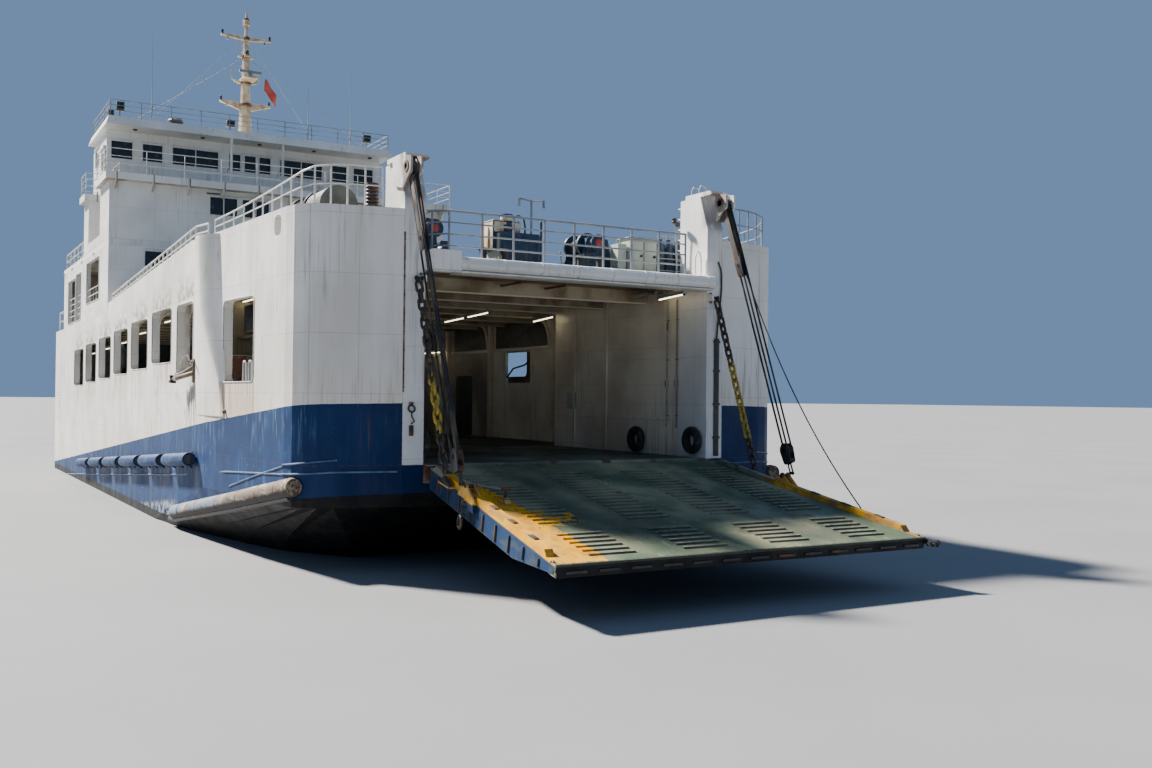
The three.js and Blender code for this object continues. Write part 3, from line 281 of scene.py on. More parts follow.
def weather(s, colour, streaks=0.5, rust=0.5, shift=0):
    """Vertical grime runs, rust runs and rust spots laid over a colour."""
    patches = s.patches(0.46, 0.66, 0.75, (1, 1, 1.6), shift=shift)
    runs = s.patches(0.5, 0.72, 0.035, (1, 1, 24), shift=shift + 3)
    fine = s.patches(0.55, 0.75, 0.012, (1, 1, 40), shift=shift + 5)
    grime = s.mul(s.either(runs, s.mul(fine, 0.6)), patches, streaks)
    colour = s.mix(grime, colour, GRIME)
    spots = s.patches(0.56, 0.7, 0.55, (1, 1, 2.2), shift=shift + 11)
    trails = s.patches(0.58, 0.72, 0.022, (1, 1, 26), shift=shift + 17)
    freckles = s.patches(0.66, 0.72, 0.018, shift=shift + 23, detail=5)
    worn = s.mul(s.either(trails, freckles), spots, rust)
    return s.mix(worn, colour, RUST), worn


def plating(s, frame_pitch=0.31, strake_pitch=0.61):
    """Bump of welded plating: seams and the hollows between frames. Returns the seam mask."""
    x, y, z = s.axes(s.place)
    seams = s.either(s.every(x, 1.55, 0.004, 0.2), s.every(y, 1.45, 0.004, 0.4),
        s.every(z, strake_pitch, 0.0035))
    hollow = s.mul(s.band(s.math("PINGPONG", x, frame_pitch / 2), 0, frame_pitch / 2),
        s.band(s.math("PINGPONG", z, strake_pitch / 4), 0, strake_pitch / 4))
    dents = s.noise(0.5, detail=1, shift=31)
    s.bump(s.sub(dents, s.mul(hollow, 0.16)), 0.012, 0.8)
    s.bump(seams, 0.0015, 0.6)
    s.bump(s.noise(0.006, detail=2), 0.0004, 0.25)
    return seams


def chipped(s, colour, radius, start, end, size, shift, share, bare=RUST):
    """Paint broken away along the sharp edges, down to bare or rusted metal."""
    return s.lay(colour, bare, s.edges(radius), s.patches(start, end, size, detail=5, shift=shift), share)


def deck_green(s, light=(0.125, 0.155, 0.13), dark=(0.035, 0.047, 0.042)):
    """Worn deck paint: scraped light patches, dark wet-looking tracks and brown stains."""
    tone = s.patches(0.35, 0.68, 0.9, detail=5, shift=7)
    colour = s.mix(tone, dark, light)
    scrape = s.patches(0.6, 0.72, 0.05, (5, 1, 1), detail=6, shift=9)
    colour = s.lay(colour, (0.24, 0.26, 0.22), scrape, 0.5)
    stain = s.patches(0.58, 0.72, 0.35, detail=4, shift=13)
    return s.lay(colour, (0.1, 0.062, 0.035), stain, 0.6)


def outward(s, centre_x, reach_x):
    """Above 0 on a wall's outer face, below 0 on its inner face."""
    x, y, _ = s.axes(s.place)
    facing_x, facing_y, _ = s.axes(s.facing)
    across = s.mul(facing_y, s.math("SIGN", y))
    from_middle = s.sub(x, centre_x)
    ends = s.band(s.abs(from_middle), reach_x * 0.99, reach_x)
    along = s.mul(facing_x, s.math("SIGN", from_middle), ends)
    return s.add(across, along)


# Painted line between white and blue: its height amidships and its rise per metre forward, in the frame
LINE_Z = 1.86 * SCALE
LINE_RISE = 0.0826
BOOT_FRONT_X = 9.5
BOOT_FRONT_Z = 0.775
BOOT_RISE = 0.142
BOOT_LOW_Z = 0.13


# Side openings repeat at this pitch from this middle, in the frame, and their tops and sills rise forward
BAY_PITCH = 3.55 * SCALE
BAY_MIDDLE = 7.35 * SCALE
BAY_RISE = 0.031
BAY_TOP = 2.869
BAY_SILL = 2.104


def side_stains(s, white):
    """Soot over the side openings, rust under their sills, and runs below the wing opening and the roller."""
    x, y, z = s.axes(s.place)
    bays = s.mul(s.every(x, BAY_PITCH, 0.86, BAY_MIDDLE), s.between(x, -5.6, 5.9, 0.1))
    over = s.sub(z, s.line(x, BAY_RISE, BAY_TOP))
    cloud = s.patches(0.38, 0.58, 0.22, (1, 1, 0.6), detail=5, shift=301)
    soot = s.mul(bays, s.band(over, 0, 0.02), s.band(over, 0.46, 0.02), cloud, 0.72)
    white = s.mix(soot, white, (0.17, 0.15, 0.13))
    under = s.sub(s.line(x, BAY_RISE, BAY_SILL), z)
    runs = s.patches(0.48, 0.62, 0.02, (1, 1, 30), shift=303)
    below = s.mul(bays, s.band(under, -0.01, 0.01), s.band(under, 0.62, 0.02), runs)
    wing_x = s.between(x, 7.12, 8.26, 0.03)
    wing = s.mul(wing_x, s.band(z, 1.97, 1.93), s.band(z, 1.2, 1.9), runs)
    white = s.lay(white, (0.52, 0.4, 0.28), wing_x, s.band(z, 1.97, 1.93), s.band(z, 1.2, 1.7), 0.45)
    white = s.lay(white, (0.3, 0.16, 0.075), s.either(below, wing), 0.8)
    corners = s.mul(s.every(x, 1.08, 0.008, 7.145), wing_x, s.band(z, 1.96, 1.94))
    white = s.lay(white, (0.1, 0.075, 0.055), corners, 0.6)
    drips = s.mul(s.patches(0.57, 0.64, 0.03, (1, 1, 8), detail=2, shift=311), s.between(z, 1.05, 1.95, 0.3),
        s.patches(0.5, 0.64, 0.45, shift=313), s.band(x, 6.2, 5.4))
    white = s.lay(white, (0.1, 0.07, 0.05), drips, 0.75)
    swell = s.mul(s.between(x, 6.05, 6.55, 0.12), s.band(z, 2.1, 3),
        s.patches(0.44, 0.62, 0.05, (1, 1, 16), detail=4, shift=317))
    white = s.lay(white, (0.2, 0.19, 0.18), swell, 0.6)
    lines = s.mul(s.every(x, 0.62, 0.006, 0.31), s.patches(0.48, 0.6, 0.5, (1, 1, 3), shift=319))
    white = s.lay(white, (0.3, 0.26, 0.21), lines, 0.45)
    starboard = s.band(y, 0, -0.1)
    smear = s.patches(0.4, 0.56, 0.06, (1, 1, 7), detail=4, shift=307)
    roller = s.mul(s.between(x, 5.42, 6, 0.05), s.band(z, 1.98, 1.86), s.band(z, 1.12, 1.75), smear,
        starboard)
    return s.lay(white, (0.09, 0.07, 0.06), roller, 0.8)


def side_white(s, z, line, seams, tone):
    """White above the line, yellowed and streaked. Returns the rust mask too."""
    white, rust = weather(s, s.mix(tone, (0.78, 0.765, 0.72), (0.66, 0.635, 0.58)), 0.62, 0.75)
    film = s.patches(0.42, 0.64, 0.3, (1, 1, 5), detail=4, shift=341)
    white = s.lay(white, (0.56, 0.51, 0.43), film, 0.38)
    low = s.band(s.sub(z, line), 0.55, 0)
    white = s.lay(white, (0.74, 0.62, 0.48), low, 0.3)
    runs = s.patches(0.5, 0.75, 0.03, (1, 1, 14), shift=41)
    white = s.lay(white, (0.34, 0.25, 0.17), low, runs, 0.45)
    return s.lay(side_stains(s, white), GRIME, seams, 0.35), rust


def side_blue(s, x, z, line, rust):
    """Blue below the line, scuffed and chafed where it faces outward, with painted sheen that makes
    side-facing faces lighter than forward ones.
    """
    scuff = s.mul(s.patches(0.47, 0.68, 0.055, (1, 1, 9), detail=5, shift=47),
        s.patches(0.42, 0.6, 0.5, shift=51))
    blue = s.mix(s.patches(0.3, 0.7, 0.6, shift=53), BLUE, (0.003, 0.026, 0.098))
    facing_x, _, _ = s.axes(s.facing)
    # Faces that look to the side rather than forward take a thin veil of lighter blue (painted sheen) and
    # carry the scuffs, nicks and pale runs (real wear)
    wear_and_sheen_facing = s.band(facing_x, 0.9, 0.3, 0.12, 1)
    painted_sheen = s.mul(wear_and_sheen_facing, 0.1)
    blue = s.mix(s.either(s.mul(scuff, wear_and_sheen_facing, 0.8), painted_sheen), blue, SCUFF_AND_SHEEN_BLUE)
    runs = s.mul(s.patches(0.58, 0.7, 0.035, (1, 1, 12), detail=4, shift=331),
        s.patches(0.45, 0.62, 0.7, shift=333), s.band(s.sub(line, z), 0.75, 0))
    blue = s.lay(blue, (0.17, 0.3, 0.46), runs, s.band(facing_x, 0.95, 0.4, 0.25, 1), 0.65)
    chafed = s.abs(s.sub(z, s.line(x, 0.1, -0.23)))
    chafed = s.mul(s.band(chafed, 0.17, 0.08), s.between(x, 1.4, 4.7, 0.4),
        s.patches(0.44, 0.54, 0.06, (2, 1, 2), detail=6, shift=337))
    blue = s.lay(blue, (0.33, 0.34, 0.33), chafed, 0.85)
    nicks = s.patches(0.7, 0.75, 0.03, (3, 3, 1), detail=6, shift=57)
    blue = s.lay(blue, (0.4, 0.44, 0.48), nicks, wear_and_sheen_facing, 0.5)
    return s.lay(blue, RUST, rust, 0.5)


def side_paint():
    """Ship's side: white over blue over black, cream inside and green on the deck."""
    s = Surface("side_paint", roughness=0.45)
    x, _, z = s.axes(s.place)
    _, _, up = s.axes(s.facing)
    wobble = s.mul(s.sub(s.noise(0.12, detail=2), 0.5), 0.008)
    line = s.add(s.line(x, LINE_RISE, LINE_Z), wobble)
    above = s.band(s.sub(z, line), -0.001, 0.001)
    boot = s.line(s.sub(x, BOOT_FRONT_X), BOOT_RISE, BOOT_FRONT_Z)
    boot = s.add(s.either(boot, BOOT_LOW_Z), s.mul(wobble, 3))
    below = s.band(s.sub(boot, z), -0.004, 0.004)
    seams = plating(s)
    tone = s.patches(0.4, 0.65, 1.3, detail=4)
    white, rust = side_white(s, z, line, seams, tone)
    blue = side_blue(s, x, z, line, rust)
    slime = s.patches(0.5, 0.7, 0.2, (1, 1, 0.4), detail=4, shift=61)
    black = s.mix(slime, BOOT_BLACK, (0.012, 0.013, 0.01))
    outside = s.mix(below, s.mix(above, blue, white), black)
    cream, _ = weather(s, s.mix(tone, (0.25, 0.21, 0.155), (0.13, 0.1, 0.068)), 0.8, 0.7, shift=71)
    inside = s.band(outward(s, 0, 9.2), -0.2, -0.4)
    deck_z = DECK_Z * SCALE
    top = s.mul(s.band(up, 0.8, 0.9), s.band(z, deck_z - 0.01, deck_z - 0.005),
        s.band(z, deck_z + 0.01, deck_z + 0.005))
    colour = s.mix(top, s.mix(inside, outside, cream), deck_green(s))
    colour = chipped(s, colour, 0.012, 0.45, 0.6, 0.03, 81, 0.75)
    rough = s.band(s.noise(0.25, (1, 1, 3), detail=4, shift=91), 0.3, 0.7, 0.48, 0.7)
    s.shader.inputs["Specular IOR Level"].default_value = 0.22
    return s.set(base_color=colour, roughness=rough)


def house_paint(name="house_paint", centre_x=-4.65, reach_x=None, tone_a=WHITE, tone_b=DULL_WHITE, rust=0.6):
    """White paint of the upperworks, cream on inner faces where the walls' reach from their centre is set."""
    s = Surface(name, roughness=0.5)
    tone = s.patches(0.35, 0.65, 0.9, detail=4, shift=5)
    seams = plating(s, 0.3, 0.58)
    colour, _ = weather(s, s.mix(tone, tone_a, tone_b), 0.5, rust, shift=101)
    colour = s.lay(colour, GRIME, seams, 0.3)
    if reach_x:
        cream, _ = weather(s, s.mix(tone, (0.56, 0.52, 0.43), CREAM), 0.6, 0.5, shift=111)
        colour = s.mix(s.band(outward(s, centre_x, reach_x), -0.2, -0.4), colour, cream)
    x, _, z = s.axes(s.place)
    head = s.mul(s.band(x, 9.58, 9.76), s.band(z, 3.72, 4), s.patches(0.34, 0.52, 0.1, (1, 1, 3), detail=5,
        shift=127), 0.8)
    colour = s.mix(head, colour, (0.13, 0.095, 0.07))
    colour = chipped(s, colour, 0.012, 0.42, 0.58, 0.03, 121, 0.8)
    rough = s.band(s.noise(0.2, detail=4, shift=131), 0.3, 0.7, 0.38, 0.65)
    return s.set(base_color=colour, roughness=rough)


def deck_paint():
    """Decks: green on top, white edges, and brown-stained cream below, with painted light on the beams'
    forward faces and painted shade on the ceiling.
    """
    beam_top, beam_low = CEILING * SCALE, BEAM_LOW * SCALE
    s = Surface("deck_paint", roughness=0.6)
    _, _, z = s.axes(s.place)
    _, _, up = s.axes(s.facing)
    tone = s.patches(0.35, 0.65, 0.8, detail=4)
    edge_white, _ = weather(s, s.mix(tone, WHITE, DULL_WHITE), 0.6, 0.8, shift=141)
    stained = s.patches(0.42, 0.66, 0.45, detail=5, shift=151)
    facing_x, _, _ = s.axes(s.facing)
    # Below the upper deck the brown is partly stain and partly painted shade. Beam faces that look forward,
    # towards the bow opening, take the lighter cream: painted light.
    plate = s.mix(stained, (0.26, 0.215, 0.15), (0.115, 0.08, 0.048))
    web = s.mix(stained, (0.4, 0.345, 0.245), (0.18, 0.13, 0.075))
    web = s.mix(s.band(z, beam_low + 0.022, beam_low + 0.016), web, (0.62, 0.56, 0.43))
    brown = s.mix(s.band(facing_x, 0.4, 0.7), plate, web)
    pale = s.mix(stained, (0.5, 0.49, 0.45), (0.3, 0.24, 0.17))
    under = s.mix(s.band(z, beam_top + 0.4, beam_top + 0.3), pale, brown)
    beams = s.mul(s.band(z, beam_top + 0.004, beam_top), s.band(up, 0.6, 0.3))
    colour = s.mix(s.band(up, 0.3, 0.6), edge_white, deck_green(s))
    colour = s.mix(s.either(s.band(up, -0.3, -0.6), beams), colour, under)
    colour = chipped(s, colour, 0.01, 0.45, 0.6, 0.03, 161, 0.8)
    s.bump(s.noise(0.02, detail=4), 0.0012, 0.6)
    return s.set(base_color=colour, roughness=s.band(tone, 0, 1, 0.55, 0.75))


def ramp_half(x):
    return 3.62 + 0.48 * x / RAMP_LENGTH


def ramp_yellow(s, place, from_edge, worn, deck):
    """Yellow curbs, and a wide ragged margin along the starboard edge."""
    x, y, z = place
    yellow = s.mix(s.patches(0.4, 0.65, 0.4, shift=183), (0.74, 0.365, 0.001), (0.6, 0.26, 0.002))
    yellow = s.lay(yellow, (0.16, 0.12, 0.085), worn, 0.55)
    begins = s.band(s.add(x, s.mul(s.noise(0.15, shift=187), 0.3)), 1.05, 1.25)
    curb = s.mul(s.band(from_edge, 0.083, 0.081), s.band(z, -0.02, 0), begins)
    narrowing = s.mul(s.either(s.sub(1.25, x), 0), 0.22)
    ragged = s.mul(s.noise(0.12, (2, 1, 1), detail=5, shift=185), 0.09)
    patch = s.mul(s.band(x, 1.72, 1.85), s.band(x, 2.25, 2.1), s.patches(0.42, 0.52, 0.09, detail=5), 0.38)
    inner = s.sub(s.add(1.51, s.add(narrowing, ragged)), patch)
    margin = s.mul(s.band(s.add(y, inner), 0.003, -0.003), s.band(z, -0.02, 0), s.band(x, 0.45, 0.6))
    margin = s.mul(margin, s.patches(0.7, 0.6, 0.035, (2, 1, 1), detail=6, shift=189))
    port_rust = s.mul(s.band(y, 0, 0.1), s.patches(0.4, 0.6, 0.2, detail=5, shift=190), 0.7)
    yellow = s.mix(port_rust, yellow, (0.24, 0.115, 0.05))
    return s.mix(s.either(curb, margin), deck, yellow)


def ramp_paint():
    """Bow ramp: worn green deck, yellow curbs, blue girders and a rusty black tip."""
    s = Surface("ramp_paint", roughness=0.6)
    s.shader.inputs["Specular IOR Level"].default_value = 0.22
    hinge = Vector((HINGE_X, 0, HINGE_Z)) * SCALE
    moved = s.node("VectorMath", {0: s.place, 1: hinge}, operation="SUBTRACT")
    level = s.node("Mapping", {"Vector": moved, "Rotation": (0, -RAMP_ANGLE, 0)})
    x, y, z = s.axes(level)
    half = s.line(x, 0.48 / RAMP_LENGTH, 3.62 * SCALE)
    from_edge = s.sub(half, s.abs(y))
    deck = deck_green(s, (0.285, 0.275, 0.16), (0.072, 0.105, 0.06))
    track = s.band(s.abs(s.sub(s.abs(y), 0.95)), 0.55, 0.25)
    dark = s.mul(track, s.patches(0.35, 0.65, 0.4, (3, 1, 1), detail=4, shift=171), 0.5)
    deck = s.mix(dark, deck, (0.024, 0.034, 0.034))
    polished = s.mul(s.band(z, RAMP_TOP * SCALE + 0.008, RAMP_TOP * SCALE + 0.013),
        s.patches(0.35, 0.6, 0.06, detail=4, shift=173))
    deck = s.mix(polished, deck, (0.2, 0.185, 0.155))
    worn = s.patches(0.48, 0.62, 0.1, (2, 1, 1), detail=6, shift=181)
    colour = ramp_yellow(s, (x, y, z), from_edge, worn, deck)
    blue, _ = weather(s, s.mix(worn, (0.006, 0.03, 0.085), (0.028, 0.048, 0.075)), 0.8, 1, shift=191)
    colour = s.lay(colour, blue, s.band(from_edge, 0.004, 0.002), s.band(z, 0.03, 0.01))
    under = s.mix(worn, (0.05, 0.045, 0.04), DARK_RUST)
    colour = s.lay(colour, under, s.band(z, -0.001, -0.004), s.band(from_edge, 0.02, 0.03))
    rusty = s.mix(s.patches(0.5, 0.75, 0.05, detail=5, shift=193), (0.05, 0.065, 0.05), DARK_RUST)
    tip = s.band(s.add(x, s.mul(s.noise(0.05, shift=197), 0.06)), 3.145, 3.165)
    colour = s.mix(tip, colour, rusty)
    lip = s.mul(s.band(x, 3.14, 3.146), s.band(z, 0.024, 0.016))
    colour = s.mix(lip, colour, (0.011, 0.012, 0.012))
    colour = chipped(s, colour, 0.008, 0.4, 0.55, 0.02, 199, 0.7, (0.15, 0.085, 0.05))
    s.bump(s.noise(0.03, detail=5, shift=201), 0.003, 0.6)
    s.bump(s.noise(0.007, detail=2, shift=203), 0.0012, 0.5)
    return s.set(base_color=colour, roughness=s.band(s.noise(0.3, detail=4), 0.35, 0.65, 0.42, 0.75))


def stern_ramp_paint():
    s = Surface("stern_ramp_paint", roughness=0.55)
    tone = s.patches(0.35, 0.65, 0.7, detail=4)
    facing_x, _, _ = s.axes(s.facing)
    outer, _ = weather(s, s.mix(tone, WHITE, DULL_WHITE), 0.6, 0.9, shift=205)
    colour = s.mix(s.band(facing_x, 0.3, 0.6), outer, deck_green(s))
    bare = s.mul(s.edges(0.01), s.patches(0.42, 0.58, 0.03, detail=5, shift=207))
    s.bump(s.noise(0.03, detail=4), 0.002, 0.5)
    return s.set(base_color=s.mix(bare, colour, RUST))


def enamel(name, colour, worn_colour, roughness=0.45, metallic=0, rust=0.6, grain=0.02):
    """Plain machinery paint with two tones, grime runs, chipped edges and rust."""
    s = Surface(name, roughness=roughness, metallic=metallic)
    tone = s.patches(0.35, 0.65, 0.15, detail=4)
    shade, _ = weather(s, s.mix(tone, colour, worn_colour), 0.45, rust, shift=211)
    shade = chipped(s, shade, 0.006, 0.42, 0.58, grain, 213, rust)
    s.bump(s.noise(grain, shift=217), 0.0006, 0.5)
    rough = s.band(s.noise(0.05, detail=4, shift=219), 0.3, 0.7, roughness - 0.1, roughness + 0.15)
    return s.set(base_color=shade, roughness=rough)


def rusty_steel(name, clean, rust_share=0.5, roughness=0.7):
    """Bare or once painted steel, mottled with rust."""
    s = Surface(name, roughness=roughness)
    blotches = s.band(s.noise(0.16, detail=7, shift=221), 0.62 - rust_share * 0.3, 0.74 - rust_share * 0.3)
    rust = s.mix(s.noise(0.03, detail=6, shift=223), DARK_RUST, RUST)
    rust = s.mix(s.patches(0.6, 0.7, 0.02, detail=4, shift=225), rust, (0.24, 0.11, 0.045))
    s.bump(s.noise(0.02, detail=6, shift=227), 0.002, 0.8)
    return s.set(base_color=s.mix(blotches, clean, rust))


def fender_paint():
    """Scraped fender: dirty cream with rust, and painted shade on its downward-facing side."""
    s = Surface("fender_paint", roughness=0.75)
    _, _, up = s.axes(s.facing)
    x, _, _ = s.axes(s.place)
    cream = s.mix(s.patches(0.36, 0.56, 0.12, (3, 1, 1), detail=6, shift=231), (0.37, 0.31, 0.22),
        (0.12, 0.095, 0.07))
    rust = s.patches(0.48, 0.6, 0.22, (2, 1, 1), detail=6, shift=233)
    cream = s.lay(cream, (0.15, 0.075, 0.032), rust, 0.75)
    scraped = s.patches(0.56, 0.66, 0.05, (6, 1, 1), detail=5, shift=235)
    cream = s.mix(scraped, cream, (0.055, 0.045, 0.038))
    blue = s.mul(s.band(x, 7.6, 6.9), s.patches(0.66, 0.5, 0.09, (4, 1, 1), detail=5, shift=239))
    cream = s.lay(cream, (0.12, 0.17, 0.25), blue, 0.85)
    front = s.mix(s.patches(0.42, 0.58, 0.04, detail=5, shift=243), (0.3, 0.23, 0.14), (0.09, 0.05, 0.03))
    cream = s.mix(s.band(x, 9.3, 9.44), cream, front)
    # Faces that turn downwards go near black: painted shade
    low = s.band(s.add(up, s.mul(s.noise(0.06, detail=4), 0.9)), 0.45, 0)
    s.bump(s.noise(0.04, (4, 1, 1), detail=6, shift=237), 0.006, 0.8)
    return s.set(base_color=s.mix(low, cream, (0.035, 0.03, 0.026)))


def chain_paint():
    """Chain: worn yellow amidships of its length, greased black at its ends."""
    s = Surface("chain_paint", roughness=0.5, metallic=0.2)
    _, y, z = s.axes(s.place)
    ragged = s.add(z, s.mul(s.noise(0.07, detail=4), 0.5))
    port = s.band(y, -0.1, 0.1)
    top = s.line(port, 0.28, 2.2)
    low = s.line(port, -0.12, 1.74)
    yellow = s.mul(s.band(s.sub(ragged, low), -0.04, 0.04), s.band(s.sub(top, ragged), -0.04, 0.04))
    worn = s.patches(0.45, 0.6, 0.025, detail=5, shift=241)
    paint = s.mix(s.mul(worn, 0.7), (0.52, 0.36, 0.03), (0.05, 0.042, 0.03))
    bare = s.mix(worn, (0.025, 0.024, 0.023), (0.1, 0.06, 0.035))
    s.bump(s.noise(0.01), 0.0008, 0.6)
    return s.set(base_color=s.mix(yellow, bare, paint))


def wire_rope():
    """Greased wire rope with slanting strands."""
    s = Surface("wire_rope", roughness=0.45, metallic=0.6)
    x, y, z = s.axes(s.place)
    slant = s.add(s.mul(z, 90), s.mul(s.add(x, y), 190))
    strands = s.math("PINGPONG", slant, 1)
    dust = s.patches(0.5, 0.7, 0.2, (1, 1, 3), detail=4)
    s.bump(strands, 0.002, 0.9)
    colour = s.mix(dust, (0.03, 0.028, 0.026), (0.15, 0.115, 0.08))
    return s.set(base_color=s.mix(s.band(strands, 0.25, 0), colour, (0.008, 0.008, 0.008)))


def dark_glass():
    s = Surface("dark_glass", roughness=0.06)
    dirt = s.patches(0.5, 0.75, 0.12, (1, 1, 2), detail=5)
    colour = s.mix(s.mul(dirt, 0.35), (0.012, 0.016, 0.018), (0.09, 0.09, 0.085))
    return s.set(base_color=colour, roughness=s.band(dirt, 0, 1, 0.05, 0.3))


def rubber():
    s = Surface("rubber", roughness=0.8)
    dust = s.patches(0.45, 0.7, 0.06, detail=5)
    s.bump(s.noise(0.01, detail=4), 0.001, 0.6)
    return s.set(base_color=s.mix(dust, (0.012, 0.012, 0.012), (0.06, 0.056, 0.05)))


def glow(name, colour, strength):
    s = Surface(name, roughness=0.4)
    s.set(base_color=colour, emission_color=colour, emission_strength=strength)
    return s.material


def bronze():
    s = Surface("bronze", roughness=0.4, metallic=0.9)
    green = s.patches(0.5, 0.68, 0.08, detail=6)
    s.bump(s.noise(0.02, detail=4), 0.0008, 0.6)
    return s.set(base_color=s.mix(green, (0.5, 0.33, 0.13), (0.13, 0.2, 0.15)))


def floor_surface():
    s = Surface("floor", roughness=0.85)
    tone = s.patches(0.3, 0.7, 3)
    return s.set(base_color=s.mix(tone, (0.21, 0.21, 0.21), (0.23, 0.23, 0.23)))


SIDE = side_paint()
HOUSE = house_paint()
CREW = house_paint("crew_paint", centre_x=-3.8, reach_x=2.3, rust=0.75)
WHEEL = house_paint("wheelhouse_paint", centre_x=-5.2, reach_x=0.85, tone_a=(0.74, 0.75, 0.74), rust=0.4)
PASSENGER = house_paint("passenger_paint", centre_x=-4.65, reach_x=3.1, rust=0.5)
DECK = deck_paint()
RAMP = ramp_paint()
STERN_RAMP = stern_ramp_paint()
WHITE_TUBE = enamel("white_tube", (0.72, 0.71, 0.67), (0.6, 0.57, 0.5), rust=0.9)
GREY_TUBE = enamel("grey_tube", (0.17, 0.2, 0.235), (0.25, 0.27, 0.28), rust=0.7)
MACHINE = enamel("machine_blue", (0.005, 0.018, 0.048), (0.012, 0.036, 0.08), roughness=0.45)
CABINET = enamel("cabinet_green", (0.43, 0.46, 0.37), (0.5, 0.5, 0.41), rust=0.5)
CREAM_MAST = enamel("cream_mast", (0.6, 0.51, 0.36), (0.4, 0.28, 0.15), rust=1, grain=0.05)
CREAM_WALL = house_paint("cream_wall", tone_a=(0.86, 0.79, 0.63), tone_b=(0.64, 0.56, 0.42))
# Darker copy of the cream wall paint, for the far and upper parts of the port screen: painted shade
SHADED_CREAM_WALL = house_paint("shaded_cream_wall", tone_a=(0.5, 0.44, 0.34), tone_b=(0.26, 0.21, 0.15))
SHADE = enamel("shade_brown", (0.03, 0.024, 0.018), (0.05, 0.036, 0.024), rust=0.4)
FUNNEL_BLUE = enamel("funnel_blue", (0.012, 0.07, 0.22), (0.03, 0.11, 0.26))
HOOD_GREY = enamel("hood_grey", (0.125, 0.135, 0.115), (0.085, 0.092, 0.08))
RUSTY = rusty_steel("rusty_steel", (0.2, 0.17, 0.14), 0.8)
GREASED = rusty_steel("greased_steel", (0.022, 0.021, 0.02), 0.25, roughness=0.5)
STRAP_STEEL = rusty_steel("strap_steel", (0.085, 0.07, 0.06), 0.22)
DARK_STEEL = rusty_steel("dark_steel", (0.035, 0.03, 0.027), 0.45, roughness=0.6)
GALVANISED = rusty_steel("galvanised", (0.3, 0.31, 0.31), 0.15, roughness=0.45)
FENDER = fender_paint()
CHAIN = chain_paint()
WIRE = wire_rope()
GLASS = dark_glass()
RUBBER = rubber()
TUBE_LIGHT = glow("tube_light", (1, 0.86, 0.55), 5)
BRONZE = bronze()
SCUFF_BEAD = enamel("scuffed_bead", (0.022, 0.07, 0.17), (0.11, 0.18, 0.28), rust=0.3, grain=0.04)
YELLOW = enamel("worn_yellow", (0.68, 0.4, 0.055), (0.5, 0.27, 0.06), roughness=0.6, rust=0.9, grain=0.05)
ORANGE = enamel("worn_orange", (0.5, 0.2, 0.05), (0.42, 0.26, 0.1), roughness=0.65, rust=1, grain=0.05)
WORN_BROWN = enamel("worn_brown", (0.2, 0.13, 0.055), (0.09, 0.06, 0.035), rust=0.9)
RED = enamel("signal_red", (0.42, 0.03, 0.02), (0.35, 0.05, 0.03), rust=0.2)
DARK_RED = enamel("dark_red", (0.03, 0.008, 0.008), (0.055, 0.02, 0.018), rust=0.3)
BLACK = enamel("black_paint", (0.012, 0.012, 0.013), (0.035, 0.034, 0.033), rust=0.4)

NODE_SURFACES = {
    SIDE: ["hull", "bow_wing_port", "bow_wing_stbd", "side_wall_port", "side_wall_stbd"],
    HOUSE: ["pylon_port", "pylon_stbd", "header_beam", "wheelhouse_roof", "stern_frame",
            "wheelhouse_door_port", "wheelhouse_door_stbd"],
    PASSENGER: ["passenger_house"], CREW: ["crew_house"], WHEEL: ["wheelhouse"],
    CREAM_WALL: ["fore_casing_port", "fore_casing_stbd"],
    DECK: ["upper_deck", "boat_deck", "bridge_deck"],
    RAMP: ["bow_ramp"], STERN_RAMP: ["stern_ramp"], FUNNEL_BLUE: ["funnel_port", "funnel_stbd"],
    CREAM_MAST: ["mast"], GREY_TUBE: ["radar_scanner", "lamp_post"], HOOD_GREY: ["stair_hood"],
    MACHINE: ["windlass_base_port", "windlass_base_stbd", "winch_housing", "air_bottles"],
    CABINET: ["deck_cabinet"], RUSTY: ["bow_sill", "stern_sill"],
    GREASED: ["shaft_strut_port", "shaft_strut_stbd", "rudder_port", "rudder_stbd"],
}


def dress_nodes():
    for material, names in NODE_SURFACES.items():
        for name in names:
            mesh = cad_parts[name].data
            mesh.materials.clear()
            mesh.materials.append(material)


SHARP_ANGLE = radians(38)


